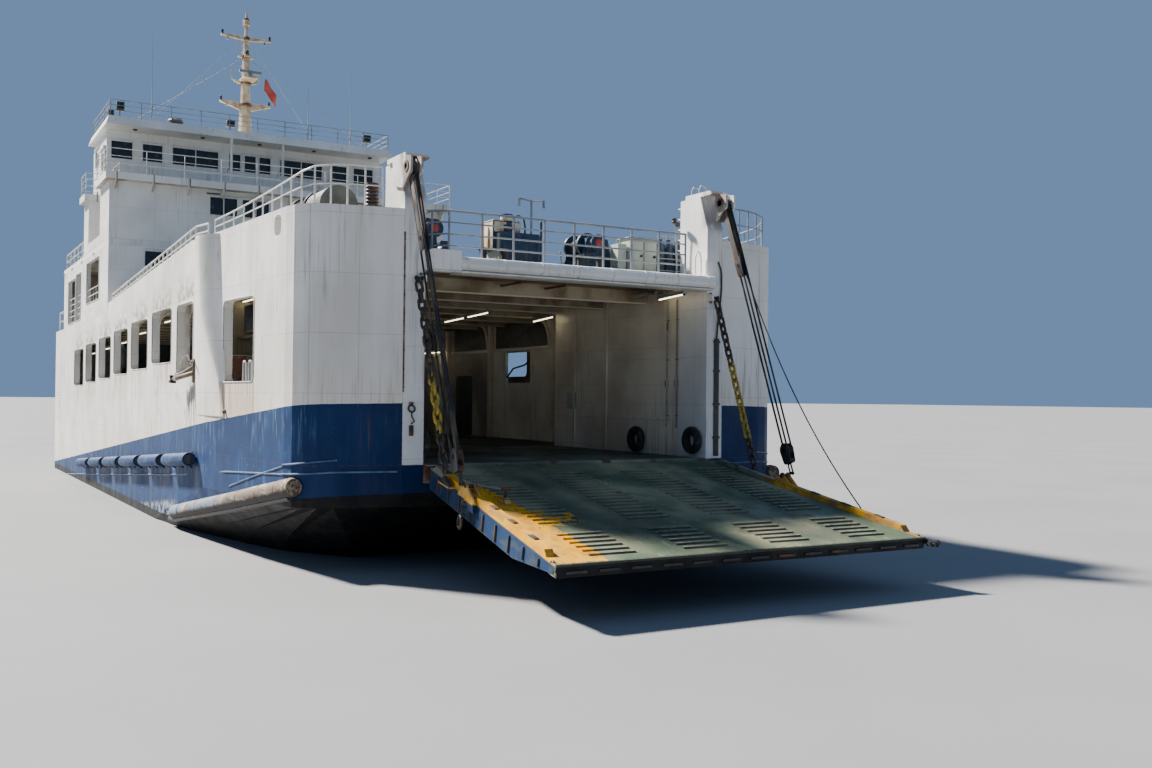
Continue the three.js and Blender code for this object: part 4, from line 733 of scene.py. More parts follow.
class Piece:
    """A mesh gathered from simple solids. Each solid takes one of the piece's materials by its number."""

    def __init__(self, name, *materials):
        self.name = name
        self.materials = materials
        self.shape = bmesh.new()

    def loft(self, rings, number=0, closed=False):
        """Skin over rings of points, with both ends filled unless it closes on itself."""
        loops = [[self.shape.verts.new(point) for point in ring] for ring in rings]
        count = len(loops[0])
        pairs = list(zip(loops, loops[1:]))
        if closed:
            pairs.append((loops[-1], loops[0]))
        faces = []
        for near, far in pairs:
            for i in range(count):
                j = (i + 1) % count
                faces.append(self.shape.faces.new((near[i], near[j], far[j], far[i])))
        if not closed:
            faces.append(self.shape.faces.new(loops[0][::-1]))
            faces.append(self.shape.faces.new(loops[-1]))
        for face in faces:
            face.material_index = number
        return faces

    def soften(self, faces, width):
        edges = list({edge for face in faces for edge in face.edges})
        bmesh.ops.bevel(self.shape, geom=edges, offset=width, segments=2, profile=0.5, affect="EDGES")

    def prism(self, outline, axis, low, high, number=0, bevel=0):
        """An outline in the two other axes, in their usual order, between two places along an axis."""
        def point(a, b, along):
            return {"x": (along, a, b), "y": (a, along, b), "z": (a, b, along)}[axis]
        rings = [[point(a, b, along) for a, b in outline] for along in (low, high)]
        faces = self.loft(rings, number)
        if bevel:
            self.soften(faces, bevel)

    def box(self, x0, x1, y0, y1, z0, z1, number=0, bevel=0):
        self.prism([(x0, y0), (x1, y0), (x1, y1), (x0, y1)], "z", z0, z1, number, bevel)

    def tube(self, points, radius, number=0, sides=8, closed=False):
        """A round bar through points. The radius may be one for each point."""
        points = [Vector(point) for point in points]
        count = len(points)
        radii = radius if isinstance(radius, (list, tuple)) else [radius] * count
        side = None
        rings = []
        for i, point in enumerate(points):
            before = points[i - 1] if i or closed else point
            after = points[(i + 1) % count] if i < count - 1 or closed else point
            along = (after - before).normalized()
            side = along.orthogonal() if side is None else side - along * side.dot(along)
            side.normalize()
            up = along.cross(side)
            angles = [2 * pi * n / sides for n in range(sides)]
            rings.append([point + (side * cos(a) + up * sin(a)) * radii[i] for a in angles])
        self.loft(rings, number, closed)

    def lathe(self, base, axis, profile, number=0, sides=20):
        """Round solid about an axis from a base. Columns of the profile: distance along the axis, radius."""
        base = Vector(base)
        axis = Vector(axis).normalized()
        side = axis.orthogonal().normalized()
        up = axis.cross(side)
        angles = [2 * pi * n / sides for n in range(sides)]
        rings = []
        for along, radius in profile:
            middle = base + axis * along
            reach = max(radius, 0.0005)
            rings.append([middle + (side * cos(a) + up * sin(a)) * reach for a in angles])
        self.loft(rings, number)

    def rod(self, base, axis, radius, length, number=0, sides=20):
        self.lathe(base, axis, [(0, radius), (length, radius)], number, sides)

    def ring(self, centre, axis, radius, wire, number=0, turns=20, sides=8):
        axis = Vector(axis).normalized()
        side = axis.orthogonal().normalized()
        up = axis.cross(side)
        angles = [2 * pi * n / turns for n in range(turns)]
        points = [Vector(centre) + (side * cos(a) + up * sin(a)) * radius for a in angles]
        self.tube(points, wire, number, sides, closed=True)

    def mirror(self):
        """Adds the other side of the ship."""
        copy = bmesh.ops.duplicate(self.shape,
            geom=self.shape.verts[:] + self.shape.edges[:] + self.shape.faces[:])
        for part in copy["geom"]:
            if isinstance(part, bmesh.types.BMVert):
                part.co.y = -part.co.y
        return self

    def move(self, matrix):
        bmesh.ops.transform(self.shape, matrix=matrix, verts=self.shape.verts[:])
        return self

    def done(self, slot, body="root", replaces=(), side=1):
        if side < 0:
            self.move(Matrix.Diagonal((1, -1, 1, 1)))
        self.move(Matrix.Scale(SCALE, 4))
        bmesh.ops.recalc_face_normals(self.shape, faces=self.shape.faces[:])
        for face in self.shape.faces:
            face.smooth = True
        for edge in self.shape.edges:
            if len(edge.link_faces) == 2 and edge.calc_face_angle() > SHARP_ANGLE:
                edge.smooth = False
        mesh = bpy.data.meshes.new(self.name)
        self.shape.to_mesh(mesh)
        self.shape.free()
        for material in self.materials:
            mesh.materials.append(material)
        made = bpy.data.objects.new(self.name, mesh)
        bpy.context.scene.collection.objects.link(made)
        if body:
            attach(made, body)
        if replaces:
            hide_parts(*replaces)
        return made


def spread(start, end, count):
    steps = [i / count for i in range(count + 1)]
    return [tuple(a + (b - a) * t for a, b in zip(start, end)) for t in steps]


def arc(a, b, radius, tall=None, turn=pi, steps=8):
    """Points of an arc about a centre, from the side of the first coordinate towards the second."""
    angles = [turn * n / steps for n in range(steps + 1)]
    return [(a + radius * cos(angle), b + (tall or radius) * sin(angle)) for angle in angles]


def rounded(a0, a1, b0, b1, radius, steps=4):
    """Outline of a rectangle with round corners."""
    corners = [(a1 - radius, b0 + radius, -90), (a1 - radius, b1 - radius, 0), (a0 + radius, b1 - radius, 90),
        (a0 + radius, b0 + radius, 180)]
    points = []
    for a, b, start in corners:
        for n in range(steps + 1):
            angle = radians(start + 90 * n / steps)
            points.append((a + radius * cos(angle), b + radius * sin(angle)))
    return points


# Handrails: the same feet as the CAD rails. Columns of feet: x, y, z, height
RAIL_R = 0.022
POST_R = 0.026
TWO = (0.54, 1)
THREE = (0.36, 0.68, 1)
FOUR = (0.26, 0.51, 0.76, 1)


def runs(corners, deck, height):
    """Feet along straight runs. Columns of the corners: x, y, posts to the next corner."""
    feet = []
    for (x, y, posts), (next_x, next_y, _) in zip(corners, corners[1:]):
        feet += spread((x, y, deck, height), (next_x, next_y, deck, height), posts)[:-1]
    return feet + [(*corners[-1][:2], deck, height)]


def both_sides(feet):
    """Feet on both sides, joined where the list begins on the centreline."""
    other = [(x, -y, z, height) for x, y, z, height in reversed(feet)]
    return other[:-1] + feet


def railing(name, feet, fractions, material, slot, nodes, side=1, thick=1):
    rail = Piece(name, material)
    post = POST_R * thick
    for x, y, z, height in feet:
        rail.lathe((x, y, z + 0.001), Z, [(0, 0.05), (0.012, 0.05), (0.014, post), (height, post),
            (height + 0.01, post / 2)], sides=8)
    for fraction in fractions:
        radius = RAIL_R * thick * (1.15 if fraction == 1 else 0.85)
        rail.tube([(x, y, z + height * fraction) for x, y, z, height in feet], radius)
    rail.done(slot, replaces=nodes, side=side)


def rails():
    header = spread((19.35, 3.1, UPPER_Z, 1), (19.35, -3.05, UPPER_Z, 1), 8)
    header += [(19.12, -3.34, UPPER_Z, 1), (18.15, -3.38, UPPER_Z, 1)]
    railing("header_rail_tubes", header, FOUR, GREY_TUBE, "rail_grey", ["header_rail"])
    wing_z = low_high("bow_wing_port")[1].z
    wing = [(13.2, 6.47, 0.36), (13.9, 6.42, 0.38), (14.6, 6.37, 0.4), (15.3, 6.32, 0.43), (16, 6.28, 0.46),
        (16.6, 6.24, 0.49), (17.2, 6.2, 0.52), (17.75, 6.16, 0.56), (18.3, 6.12, 0.6), (18.65, 6.01, 0.69),
        (18.9, 5.82, 0.78), (19.02, 5.52, 0.82), (19.1, 5.2, 0.84), (19.18, 4.85, 0.84), (19.25, 4.5, 0.84)]
    bulwark = spread((-2.4, 6.49, 6.83, 0.35), (11.2, 6.49, 7.51, 0.42), 22) + [(12.6, 6.49, 7.44, 0.4)]
    for name, side in SIDES.items():
        feet = [(x, y, wing_z, height) for x, y, height in wing]
        # The port wing's rail takes the grey paint for the dark look of a rail seen against the light:
        # painted shade; the starboard wing's rail is white
        paint, slot = (GREY_TUBE, "rail_grey") if side > 0 else (WHITE_TUBE, "white_paint")
        railing(f"wing_rail_tubes_{name}", feet, TWO, paint, slot, [f"wing_rail_{name}"], side, 0.8)
        railing(f"bulwark_rail_tubes_{name}", bulwark, TWO, WHITE_TUBE, "white_paint",
            [f"bulwark_rail_{name}"], side)
    deck = BRIDGE_TOP_Z
    bridge = runs([(-2.46, 0, 5), (-2.46, 6.72, 2), (-5.03, 6.72, 1), (-5.03, 5.9, 2), (-8.07, 5.9, 1),
        (-8.07, 6.72, 1), (-9.38, 6.72, 1), (-9.38, 6.12, 1)], deck, 0.85)
    railing("bridge_rail_tubes", both_sides(bridge), THREE, WHITE_TUBE, "white_paint", ["bridge_rail"],
        thick=0.6)
    roof = runs([(-7.58, 0, 5), (-7.58, 5.92, 3), (-12.32, 5.92, 1)], ROOF_Z, 0.66)
    railing("roof_rail_tubes", both_sides(roof), THREE, GREY_TUBE, "rail_grey", ["roof_rail"], thick=0.75)
    boat = runs([(-9.5, 6.49, 5), (-15.88, 6.49, 4), (-15.88, 0, 1)], BOAT_DECK_Z, 0.7)
    railing("boat_deck_rail_tubes", both_sides(boat[::-1]), TWO, WHITE_TUBE, "white_paint",
        ["boat_deck_rail"])
    stern = runs([(-16.2, 6.45, 1), (-18.7, 6.45, 1), (-19.38, 5.6, 1), (-19.38, 3.7, 1), (-19.38, 0, 1)],
        UPPER_Z, 0.9)
    railing("stern_rail_tubes", both_sides(stern[::-1]), TWO, WHITE_TUBE, "white_paint", ["stern_rail"])


def hung(head, angle):
    """Frame of gear that hangs from a pin and leans forward."""
    return Matrix.Translation(head) @ Matrix.Rotation(-angle, 4, "Y")


RAMP_FRAME = Matrix.Translation((HINGE_X, 0, HINGE_Z)) @ Matrix.Rotation(RAMP_ANGLE, 4, "Y")
FALL_FRAME = hung(FALL_HEAD, FALL_ANGLE)
CHAIN_FRAME = hung(CHAIN_HEAD, CHAIN_ANGLE)


def pinned(piece, x, z, y0, y1, radius, number=0):
    """Cross pin with a hexagon nut at each end."""
    piece.rod((x, y0, z), Y, radius, y1 - y0, number, 12)
    for y in (y0, y1 - 0.02):
        piece.rod((x, y, z), Y, radius * 1.7, 0.02, number, 6)


def sheave(piece, x, z, y, radius, half, number=0):
    """Grooved wheel on a cross axis."""
    groove = radius * 0.78
    piece.lathe((x, y - half, z), Y, [(0, radius * 0.35), (0, radius), (half * 0.35, radius),
        (half * 0.8, groove), (half * 1.2, groove), (half * 1.65, radius), (half * 2, radius),
        (half * 2, radius * 0.35)], number, 28)


def strap(piece, z0, z1, half0, half1, y0, y1, number=0):
    """Side plate of a block, round at its upper end."""
    foot = [(-half1, z1 + 0.03), (-half1 + 0.03, z1), (half1 - 0.03, z1), (half1, z1 + 0.03)]
    piece.prism(arc(0, z0, half0) + foot, "y", y0, y1, number, 0.006)


def fall_gear(side):
    gear = Piece(f"fall_gear_{side}", GREASED, WIRE, STRAP_STEEL)
    sheave(gear, 0, 0, 0, 0.163, 0.055, 2)
    pinned(gear, 0, 0, -0.085, 0.085, 0.04)
    for y in (-0.072, 0.056):
        strap(gear, -0.02, -1.52, 0.075, 0.085, y, y + 0.016, 2)
    strap(gear, -1.52, -1.93, 0.105, 0.1, -0.07, -0.045)
    strap(gear, -1.52, -1.93, 0.105, 0.1, 0.045, 0.07)
    sheave(gear, 0, -1.66, 0, 0.095, 0.04)
    pinned(gear, 0, -1.66, -0.084, 0.084, 0.025)
    for x, y, top in [(-0.13, 0.04, 0.05), (0.13, 0.04, 0.05), (-0.06, -0.03, -1.66), (0.075, -0.035, -1.66)]:
        gear.tube([(x, y, z) for z in (top, -2.6, -4.4, -6.2)], 0.021, 1, 10)
    for y in (-0.074, 0.05):
        strap(gear, -6.25, -6.56, 0.155, 0.12, y, y + 0.024)
    sheave(gear, 0, -6.26, 0, 0.14, 0.045)
    pinned(gear, 0, -6.26, -0.09, 0.09, 0.035)
    gear.box(-0.12, 0.12, -0.05, 0.05, -6.56, -6.47, 0, 0.012)
    bow = [(x, -0.022, z) for x, z in arc(0, -6.62, 0.045, tall=0.05)]
    gear.tube([(0.045, -0.022, -6.8)] + bow + [(-0.045, -0.022, -6.8)], 0.018)
    pinned(gear, 0, -6.79, -0.068, 0.024, 0.026)
    gear.move(FALL_FRAME).done("wire_steel", f"wire_fall_{side}", [f"wire_fall_{side}"], SIDES[side])


LINK_WIRE = 0.031
LINK_HALF = 0.067
LINK_BEND = 0.066
LINK_TOP = -0.2
LINK_LOW = -4.06
LINKS = 20


def chain_gear(side):
    chain = Piece(f"chain_gear_{side}", CHAIN, GREASED)
    pinned(chain, 0, 0, -0.1, 0.06, 0.032, 1)
    eye = [(x, 0.02, z) for x, z in arc(0, -0.02, 0.05, steps=6)]
    chain.tube([(0.05, 0.02, -0.1)] + eye + [(-0.05, 0.02, -0.1)], 0.017, 1)
    pinned(chain, 0, -0.09, -0.04, 0.06, 0.02, 1)
    upper = arc(0, LINK_HALF, LINK_BEND, steps=6)
    shape = upper + [(-a, -b) for a, b in upper]
    for n in range(LINKS):
        middle = LINK_TOP + (LINK_LOW - LINK_TOP) * n / (LINKS - 1)
        points = [(a, 0, middle + b) if n % 2 else (0, a, middle + b) for a, b in shape]
        chain.tube(points, LINK_WIRE, closed=True)
    chain.move(CHAIN_FRAME).done("chain_yellow", f"ramp_chain_{side}", [f"ramp_chain_{side}"], SIDES[side])


def ramp_trim():
    """Fittings on the bow ramp, in its own frame: x along it from the hinge, z up from the hinge line."""
    trim = Piece("ramp_trim", GREASED, YELLOW, DARK_STEEL, GALVANISED)
    ramp_post(trim)
    ramp_edges(trim)
    ramp_tip(trim)
    trim.move(RAMP_FRAME).done("rusty_steel", "bow_ramp")


def ramp_post(trim):
    """Post on the starboard curb and the guard bar that runs up to it."""
    trim.prism([(2.66, RAMP_TOP), (3, RAMP_TOP), (2.92, 0.17), (2.74, 0.17)], "y", -3.36, -3.2, 1, 0.012)
    trim.lathe((2.83, -3.28, 0.15), Z, [(0, 0.035), (0.2, 0.03), (0.22, 0.03)], 2, 12)
    trim.rod((2.83, -3.37, 0.35), Y, 0.028, 0.18, 2, 12)
    guard = [(2.83, -3.3, 0.34), (2.45, -3.38, 0.27), (2.05, -3.5, 0.22), (1.65, -3.6, 0.2),
        (1.42, -3.64, 0.17)]
    trim.tube(guard, 0.016, 3)


def ramp_edges(trim):
    """Lugs, hooks, curb plates and ribs along both edges."""
    for side in (-1, 1):
        eye = arc(2.43, 0.3, 0.075)
        for y in (3.72, 3.875):
            trim.prism(eye + [(2.12, 0.12), (2.12, 0.06), (2.85, 0.06), (2.85, 0.12)], "y",
                *span(side, y, y + 0.04), 1, 0.008)
        trim.lathe((2.43, side * 3.7, 0.31), (0, side, 0), [(0, 0.055), (0.02, 0.055), (0.02, 0.035),
            (0.235, 0.035)], 0, 14)
        hook = arc(1.33, 0.16, 0.06)
        trim.prism(hook + [(1.12, 0.1), (1.12, 0.04), (1.6, 0.04), (1.6, 0.1)], "y", *span(side, 3.8, 3.87),
            0, 0.008)
        trim.box(1.1, 1.62, *span(side, 3.62, 3.88), 0.02, 0.07, 1, 0.01)
        for x in (0.95, 3.45, 4.3, 5.2):
            y = side * (ramp_half(x) - 0.08)
            trim.box(x - 0.12, x + 0.12, y - 0.05, y + 0.05, 0.17, 0.2, 2, 0.008)
        for n in range(9):
            x = 0.7 + n * 0.62
            y = side * (ramp_half(x) + 0.001)
            depth = -0.34 if x < 4.4 else -0.34 + (x - 4.4) * 0.14
            trim.box(x - 0.012, x + 0.012, y - 0.03, y + 0.018, depth, -0.02, 2, 0.004)


def ramp_tip(trim):
    """Rings, wear blocks and roller at the tip, and short chains at the lugs."""
    for x, y in [(6.05, 4.04), (6.05, -4.06)]:
        trim.ring((x + 0.1, y, 0.02), (0, 1, 0.2), 0.075, 0.022, 0)
    for n in range(13):
        y = -3.72 + n * 0.62
        trim.box(RAMP_LENGTH - 0.16, RAMP_LENGTH + 0.03, y - 0.2, y + 0.2, -0.085, -0.03, 0, 0.012)
    trim.prism([(5.95, -0.06), (6.52, -0.05), (6.52, 0.02), (6.3, 0.05), (5.95, 0.05)], "y", 4.1, 4.17, 0,
        0.012)
    trim.rod((6.44, 4.03, -0.01), Y, 0.045, 0.26, 0, 14)
    trim.rod((6.44, 4.24, -0.01), Y, 0.07, 0.05, 0, 14)
    for side in (-1, 1):
        for n in range(4):
            trim.ring((2.5, side * 3.96, -0.02 - 0.11 * n), Y if n % 2 else X, 0.045, 0.014, 0, 14, 6)
    trim.ring((2.5, -4, -0.36), (0.2, 1, 0), 0.12, 0.03, 0, 24, 8)


def guard_wire():
    """Wire from the port pylon's head to an eye near the ramp's tip. Its lower end is placed by the ramp's
    frame as the ramp lies now.
    """
    eye = RAMP_FRAME @ Vector((4.6, 4.02, 0.17))
    top = Vector((19.72, 4.02, 8.25))
    points = []
    for n in range(25):
        t = n / 24
        sag = 1.8 * t * (1 - t)
        points.append(top.lerp(eye, t) - Vector((sag * 0.5, 0, sag)))
    wire = Piece("guard_wire", WIRE, GREASED)
    wire.tube(points, 0.014)
    made = wire.done("wire_steel", None)
    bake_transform(made)


PROP_AT = Vector((-16.2, 2.6, -1.25))


def propeller_blades(side):
    wheel = Piece(f"propeller_blades_{side}", BRONZE, GREASED)
    wheel.lathe((-0.24, 0, 0), X, [(0, 0.02), (0.03, 0.07), (0.1, 0.115), (0.2, 0.135), (0.42, 0.135)], 0, 28)
    for n in range(4):
        turn = Matrix.Rotation(pi * n / 2, 3, "X")
        rings = []
        for step in range(9):
            t = step / 8
            radius = 0.1 + 0.53 * t
            chord = 0.17 * sqrt(max(0.02, 1 - (2 * t - 0.9) ** 2 * 0.82))
            pitch = radians(62 - 34 * t)
            thick = 0.022 * (1 - 0.75 * t)
            ring = []
            for a in [2 * pi * k / 12 for k in range(12)]:
                u, v = chord * cos(a) + 0.05 * t * t, thick * sin(a)
                x = u * cos(pitch) - v * sin(pitch)
                y = u * sin(pitch) + v * cos(pitch)
                ring.append(turn @ Vector((x, y, sqrt(max(radius * radius - y * y, 0.0004)))))
            rings.append(ring)
        wheel.loft(rings, 0)
    wheel.move(Matrix.Translation(PROP_AT)).done("bronze", f"propeller_{side}", [f"propeller_{side}"],
        SIDES[side])


# Windlasses: x of both, then y of the axis for each side
WINDLASS_X = 17.3
WINDLASS_Y = {"port": 1.41, "stbd": -2.85}
DRUM_Z = UPPER_Z + 0.8


def coil(turns, steps, radius, start, length):
    """Points of a rope wound about an axis. Columns: distance along the axis, then the two across it."""
    total = turns * steps
    angles = [2 * pi * n / steps for n in range(total + 1)]
    return [(start + length * n / total, radius * cos(a), radius * sin(a)) for n, a in enumerate(angles)]


def windlass_gear(side):
    """Drum with its rope wound on it, warping head with a red hub, gear wheel and brake."""
    at = (WINDLASS_X, WINDLASS_Y[side], DRUM_Z)
    drum = Piece(f"drum_gear_{side}", MACHINE, WIRE, RED, GREASED)
    drum.rod((-0.36, 0, 0), X, 0.075, 0.85, 3, 20)
    for x in (-0.34, 0.28):
        drum.lathe((x, 0, 0), X, [(0, 0.1), (0, 0.3), (0.02, 0.305), (0.04, 0.305), (0.06, 0.3), (0.06, 0.1)],
            0, 36)
    drum.tube(coil(11, 16, 0.165, -0.26, 0.52), 0.024, 1, 6)
    drum.rod((-0.28, 0, 0), X, 0.15, 0.56, 3, 20)
    drum.lathe((0.55, 0, 0), X, [(0, 0.09), (0, 0.2), (0.03, 0.205), (0.08, 0.14), (0.16, 0.115),
        (0.22, 0.14), (0.27, 0.2), (0.3, 0.205), (0.3, 0.12), (0.31, 0.11)], 0, 32)
    drum.lathe((0.84, 0, 0), X, [(0, 0.1), (0.015, 0.1), (0.03, 0.06)], 2, 24)
    drum.move(Matrix.Translation(at)).done("machine_blue", f"windlass_drum_{side}", [f"windlass_drum_{side}"])


def windlass_fittings(side):
    """Motor, bearings, brake lever, bolts and hoses that stand on the deck."""
    base = Piece(f"windlass_fittings_{side}", MACHINE, GALVANISED, BLACK, RUSTY)
    base.lathe((-0.66, 0.62, 0.38), X, [(0, 0.1), (0.02, 0.17), (0.1, 0.19), (0.62, 0.19), (0.7, 0.15)], 0,
        24)
    for n in range(8):
        base.ring((-0.5 + n * 0.06, 0.62, 0.38), X, 0.19, 0.008, 0, 24, 5)
    base.box(-0.3, 0, 0.5, 0.74, 0.56, 0.66, 0, 0.015)
    base.box(-0.45, 0.02, 0.42, 0.82, 0.08, 0.2, 0, 0.02)
    base.tube([(-0.44, -0.24, 0.1), (-0.5, -0.3, 0.62), (-0.42, -0.34, 0.7)], 0.02, 1)
    for x in (-0.44, 0.44):
        base.lathe((x - 0.07, 0, 0.8), X, [(0, 0.1), (0, 0.135), (0.01, 0.14), (0.13, 0.14), (0.14, 0.135),
            (0.14, 0.1)], 0, 24)
    for x, y in [(-0.52, -0.32), (-0.52, 0.32), (0.52, -0.32), (0.52, 0.32), (-0.5, 0.92)]:
        base.rod((x, y, 0.075), Z, 0.03, 0.02, 3, 6)
    base.tube([(-0.6, 0.6, 0.35), (-0.75, 0.6, 0.3), (-0.8, 0.6, 0.15), (-0.8, 0.6, 0.012)], 0.022, 2)
    base.tube([(-0.6, 0.7, 0.4), (-0.8, 0.72, 0.35), (-0.88, 0.72, 0.15), (-0.88, 0.72, 0.012)], 0.022, 2)
    base.move(Matrix.Translation((WINDLASS_X, WINDLASS_Y[side], UPPER_Z))).done("machine_blue")


def moving_gear():
    for side in SIDES:
        fall_gear(side)
        chain_gear(side)
        propeller_blades(side)
        windlass_gear(side)
        windlass_fittings(side)
    ramp_trim()
    guard_wire()


def side_line(x):
    """Half-breadth of the side shell at x, abaft the bow's round corner."""
    return SIDE_HALF if x < 12.9 else SIDE_HALF - (x - 12.9) * 0.42 / 6.18


def tube_height(x):
    return 2 - 0.058 * (12.2 - x)


def tube_fenders(side):
    """Six tubes on brackets, with the doubling strake behind them. Their closed ends carry black discs that
    stand for the shade inside open tubes: painted shade.
    """
    row = Piece(f"tube_fender_row_{side}", SIDE, BLACK, RUSTY)
    for n in range(6):
        front = 12.2 - n * 3.5
        rings = []
        for x, radius in [(front - 2.75, 0.12), (front - 2.75, 0.165), (front - 2.72, 0.17),
                (front - 0.03, 0.17), (front, 0.165), (front, 0.12)]:
            turn = [2 * pi * k / 24 for k in range(24)]
            middle = Vector((x, SIDE_HALF + 0.2, tube_height(x)))
            rings.append([middle + Vector((0, cos(a), sin(a))) * radius for a in turn])
        row.loft(rings, 0)
        # Black discs in the tube ends: painted shade of the open tubes' insides
        for x in (front + 0.001, front - 2.751):
            row.rod((x - 0.002, SIDE_HALF + 0.2, tube_height(x)), X, 0.118, 0.004, 1, 24)
        for x in (front - 0.35, front - 1.375, front - 2.4):
            z = tube_height(x)
            row.prism([(SIDE_HALF + 0.045, z - 0.24), (SIDE_HALF + 0.2, z - 0.12),
                (SIDE_HALF + 0.2, z + 0.12), (SIDE_HALF + 0.045, z + 0.2)], "x", x - 0.015, x + 0.015, 0)
    aft, front = 12.2 - 5 * 3.5 - 2.75, 12.2
    outline = [(aft, tube_height(aft) - 0.1), (front, tube_height(front) - 0.1),
        (front, tube_height(front) + 0.05), (aft, tube_height(aft) + 0.05)]
    row.prism(outline, "y", SIDE_HALF + 0.006, SIDE_HALF + 0.05, 0, 0.01)
    row.done("hull_blue", replaces=[f"tube_fenders_{side}"], side=SIDES[side])


def diagonal_fender(side):
    """Long scraped roll with a stepped front end, held by straps on a dark shelf."""
    roll = Piece(f"bow_fender_roll_{side}", FENDER, GREASED, RUSTY)
    path = [(9.7, 6.6, 0.46), (11.5, 6.55, 0.7), (13.4, 6.5, 0.96), (15.3, 6.45, 1.22), (16.6, 6.36, 1.42),
        (17.8, 6.28, 1.6), (18.85, 6.21, 1.76)]
    radii = [0.19, 0.2, 0.2, 0.2, 0.2, 0.2, 0.2]
    roll.tube([(9.3, 6.56, 0.42)] + path + [(19, 6.2, 1.78), (19.02, 6.2, 1.785)],
        [0.09] + radii + [0.17, 0.05], 0, 28)
    points = [Vector(p) for p in path]
    for n in range(1, 7):
        low, high = points[n - 1], points[n]
        along = (high - low).normalized()
        roll.ring(low.lerp(high, 0.5), along, 0.196, 0.012, 2, 24, 6)
    shelf = [(x, y + 0.02, z - 0.2) for x, y, z in path]
    roll.tube([(8.9, 6.58, 0.22)] + shelf, 0.07, 1)
    roll.done("white_paint", replaces=[f"diagonal_fender_{side}"], side=SIDES[side])


# The bow's outline in plan: straight front, then a curve about its corner, then the side
FRONT_SWEEP = 0.2015
CORNER = Vector((HULL_HIGH.x - FRONT_SWEEP * 2.07, 6.18))
CORNER_START = CORNER + Vector((FRONT_SWEEP * 0.72, -0.72))
CORNER_END = CORNER + Vector((-0.72, 0.05))


def bow_line(front_y, z_side, z_front):
    """Bead round the bow's corner, from the side to a place on the front."""
    points = []
    for n in range(7):
        t = n / 6
        at = CORNER_END * (1 - t) ** 2 + CORNER * 2 * t * (1 - t) + CORNER_START * t * t
        points.append((at.x + 0.004, at.y + 0.004, z_side + (z_front - z_side) * t))
    last = CORNER_START + Vector((FRONT_SWEEP, -1)) * (CORNER_START.y - front_y)
    return points + [(last.x + 0.004, last.y, z_front)]


def rub_strakes():
    """Half-round beads along the blue side and round the bow."""
    strake = Piece("rub_strakes", SCUFF_BEAD)
    low = [(-18.6, -0.29), (-2.7, 0.69), (10.25, 1.49), (14.63, 1.83), (16.87, 1.93), (18.3, 1.99)]
    strake.tube([(x, side_line(x) + 0.004, z) for x, z in low] + bow_line(4.2, 2, 2.07), 0.02)
    high = [(14.92, 1.52), (16.87, 1.9), (18.3, 2.15)]
    strake.tube([(x, side_line(x) + 0.004, z) for x, z in high] + bow_line(5.4, 2.19, 2.31), 0.02)
    strake.mirror().done("hull_blue")


# Car-deck openings in the ship's side. Columns: front x, length, z from, z to
OPENINGS = [(11.51, 2, 4.15, 6)]
OPENINGS += [(8.77 - 3.55 * n, 2.84, 4.48 - 0.031 * 3.55 * n, 6.01 - 0.031 * 3.55 * n) for n in range(6)]
WING_OPENING = (16.45, 2.16, 3.9, 5.8)


def coamings():
    """Low welded lips round the side openings."""
    lips = Piece("opening_coamings", SIDE)
    for front, length, z0, z1 in OPENINGS + [WING_OPENING]:
        outline = rounded(front - length, front, z0, z1, 0.16, 5)
        lips.tube([(x, side_line(x) + 0.004, z) for x, z in outline], 0.014, 0, 6, closed=True)
    lips.mirror().done("white_paint")


# Knuckle where the flat side meets the bow: it swells, then falls away to a crease that leans forward
KNUCKLE_AFT = 11.65
KNUCKLE_CREASE = 13.95
KNUCKLE_LEAN = 0.55
KNUCKLE_PROUD = 0.33
KNUCKLE_LOW = 3.1
KNUCKLE_FULL = 6
KNUCKLE_TOP = 7.43
KNUCKLE_FALL = 1.85


def knuckle_ring(u):
    """One upright section of the knuckle. u goes from 0 aft to 1 at the swell's peak and 2 at the crease."""
    ring = []
    for k in range(19):
        z = KNUCKLE_LOW + (KNUCKLE_TOP - KNUCKLE_LOW) * k / 18
        fade = min((z - KNUCKLE_LOW) / (KNUCKLE_FULL - KNUCKLE_LOW), 1)
        proud = 0.03 + (KNUCKLE_PROUD - 0.03) * fade * fade * (3 - 2 * fade)
        crease = KNUCKLE_CREASE + KNUCKLE_LEAN * (KNUCKLE_TOP - z) / (KNUCKLE_TOP - KNUCKLE_LOW)
        peak = crease - KNUCKLE_FALL * proud
        if u < 1:
            x = KNUCKLE_AFT + (peak - KNUCKLE_AFT) * u
            swell = proud * u * u * (3 - 2 * u)
        else:
            x = peak + (crease - peak) * (u - 1)
            swell = proud * (1 - (u - 1) ** 1.45)
        ring.append((x, side_line(x) + 0.004 + swell, z))
    foot = side_line(ring[0][0]) - 0.03
    return [(ring[0][0], foot, KNUCKLE_LOW)] + ring + [(ring[-1][0], foot, KNUCKLE_TOP)]


def knuckles():
    """Fairing over the side's plating at the knuckle, both sides."""
    skin = Piece("bow_knuckles", SIDE)
    skin.loft([knuckle_ring(n / 12) for n in range(25)])
    skin.mirror().done("white_paint")


def side_fittings():
    """Scupper, overboard pipes and the ladder's rungs on the side."""
    work = Piece("side_fittings", RUSTY, WHITE_TUBE, RUBBER, GREASED)
    work.lathe((14.54, side_line(14.54) - 0.03, 3.23), (0, 1, -0.25),
        [(0, 0.05), (0.09, 0.05), (0.1, 0.04), (0.02, 0.035)], 0, 14)
    for x in (-15.4, -12.7, -9.6, -6.2):
        work.tube([(x, SIDE_HALF - 0.02, 9.07), (x, SIDE_HALF + 0.05, 9.06), (x, SIDE_HALF + 0.06, 8.96)],
            0.03, 1)
    x, y = -17.2, SIDE_HALF + 0.07
    for n in range(6):
        z = 2.5 + n * 0.28
        work.tube([(x - 0.17, y - 0.08, z), (x - 0.17, y, z), (x + 0.17, y, z), (x + 0.17, y - 0.08, z)],
            0.014, 1, 6)
    work.mirror().done("white_paint")


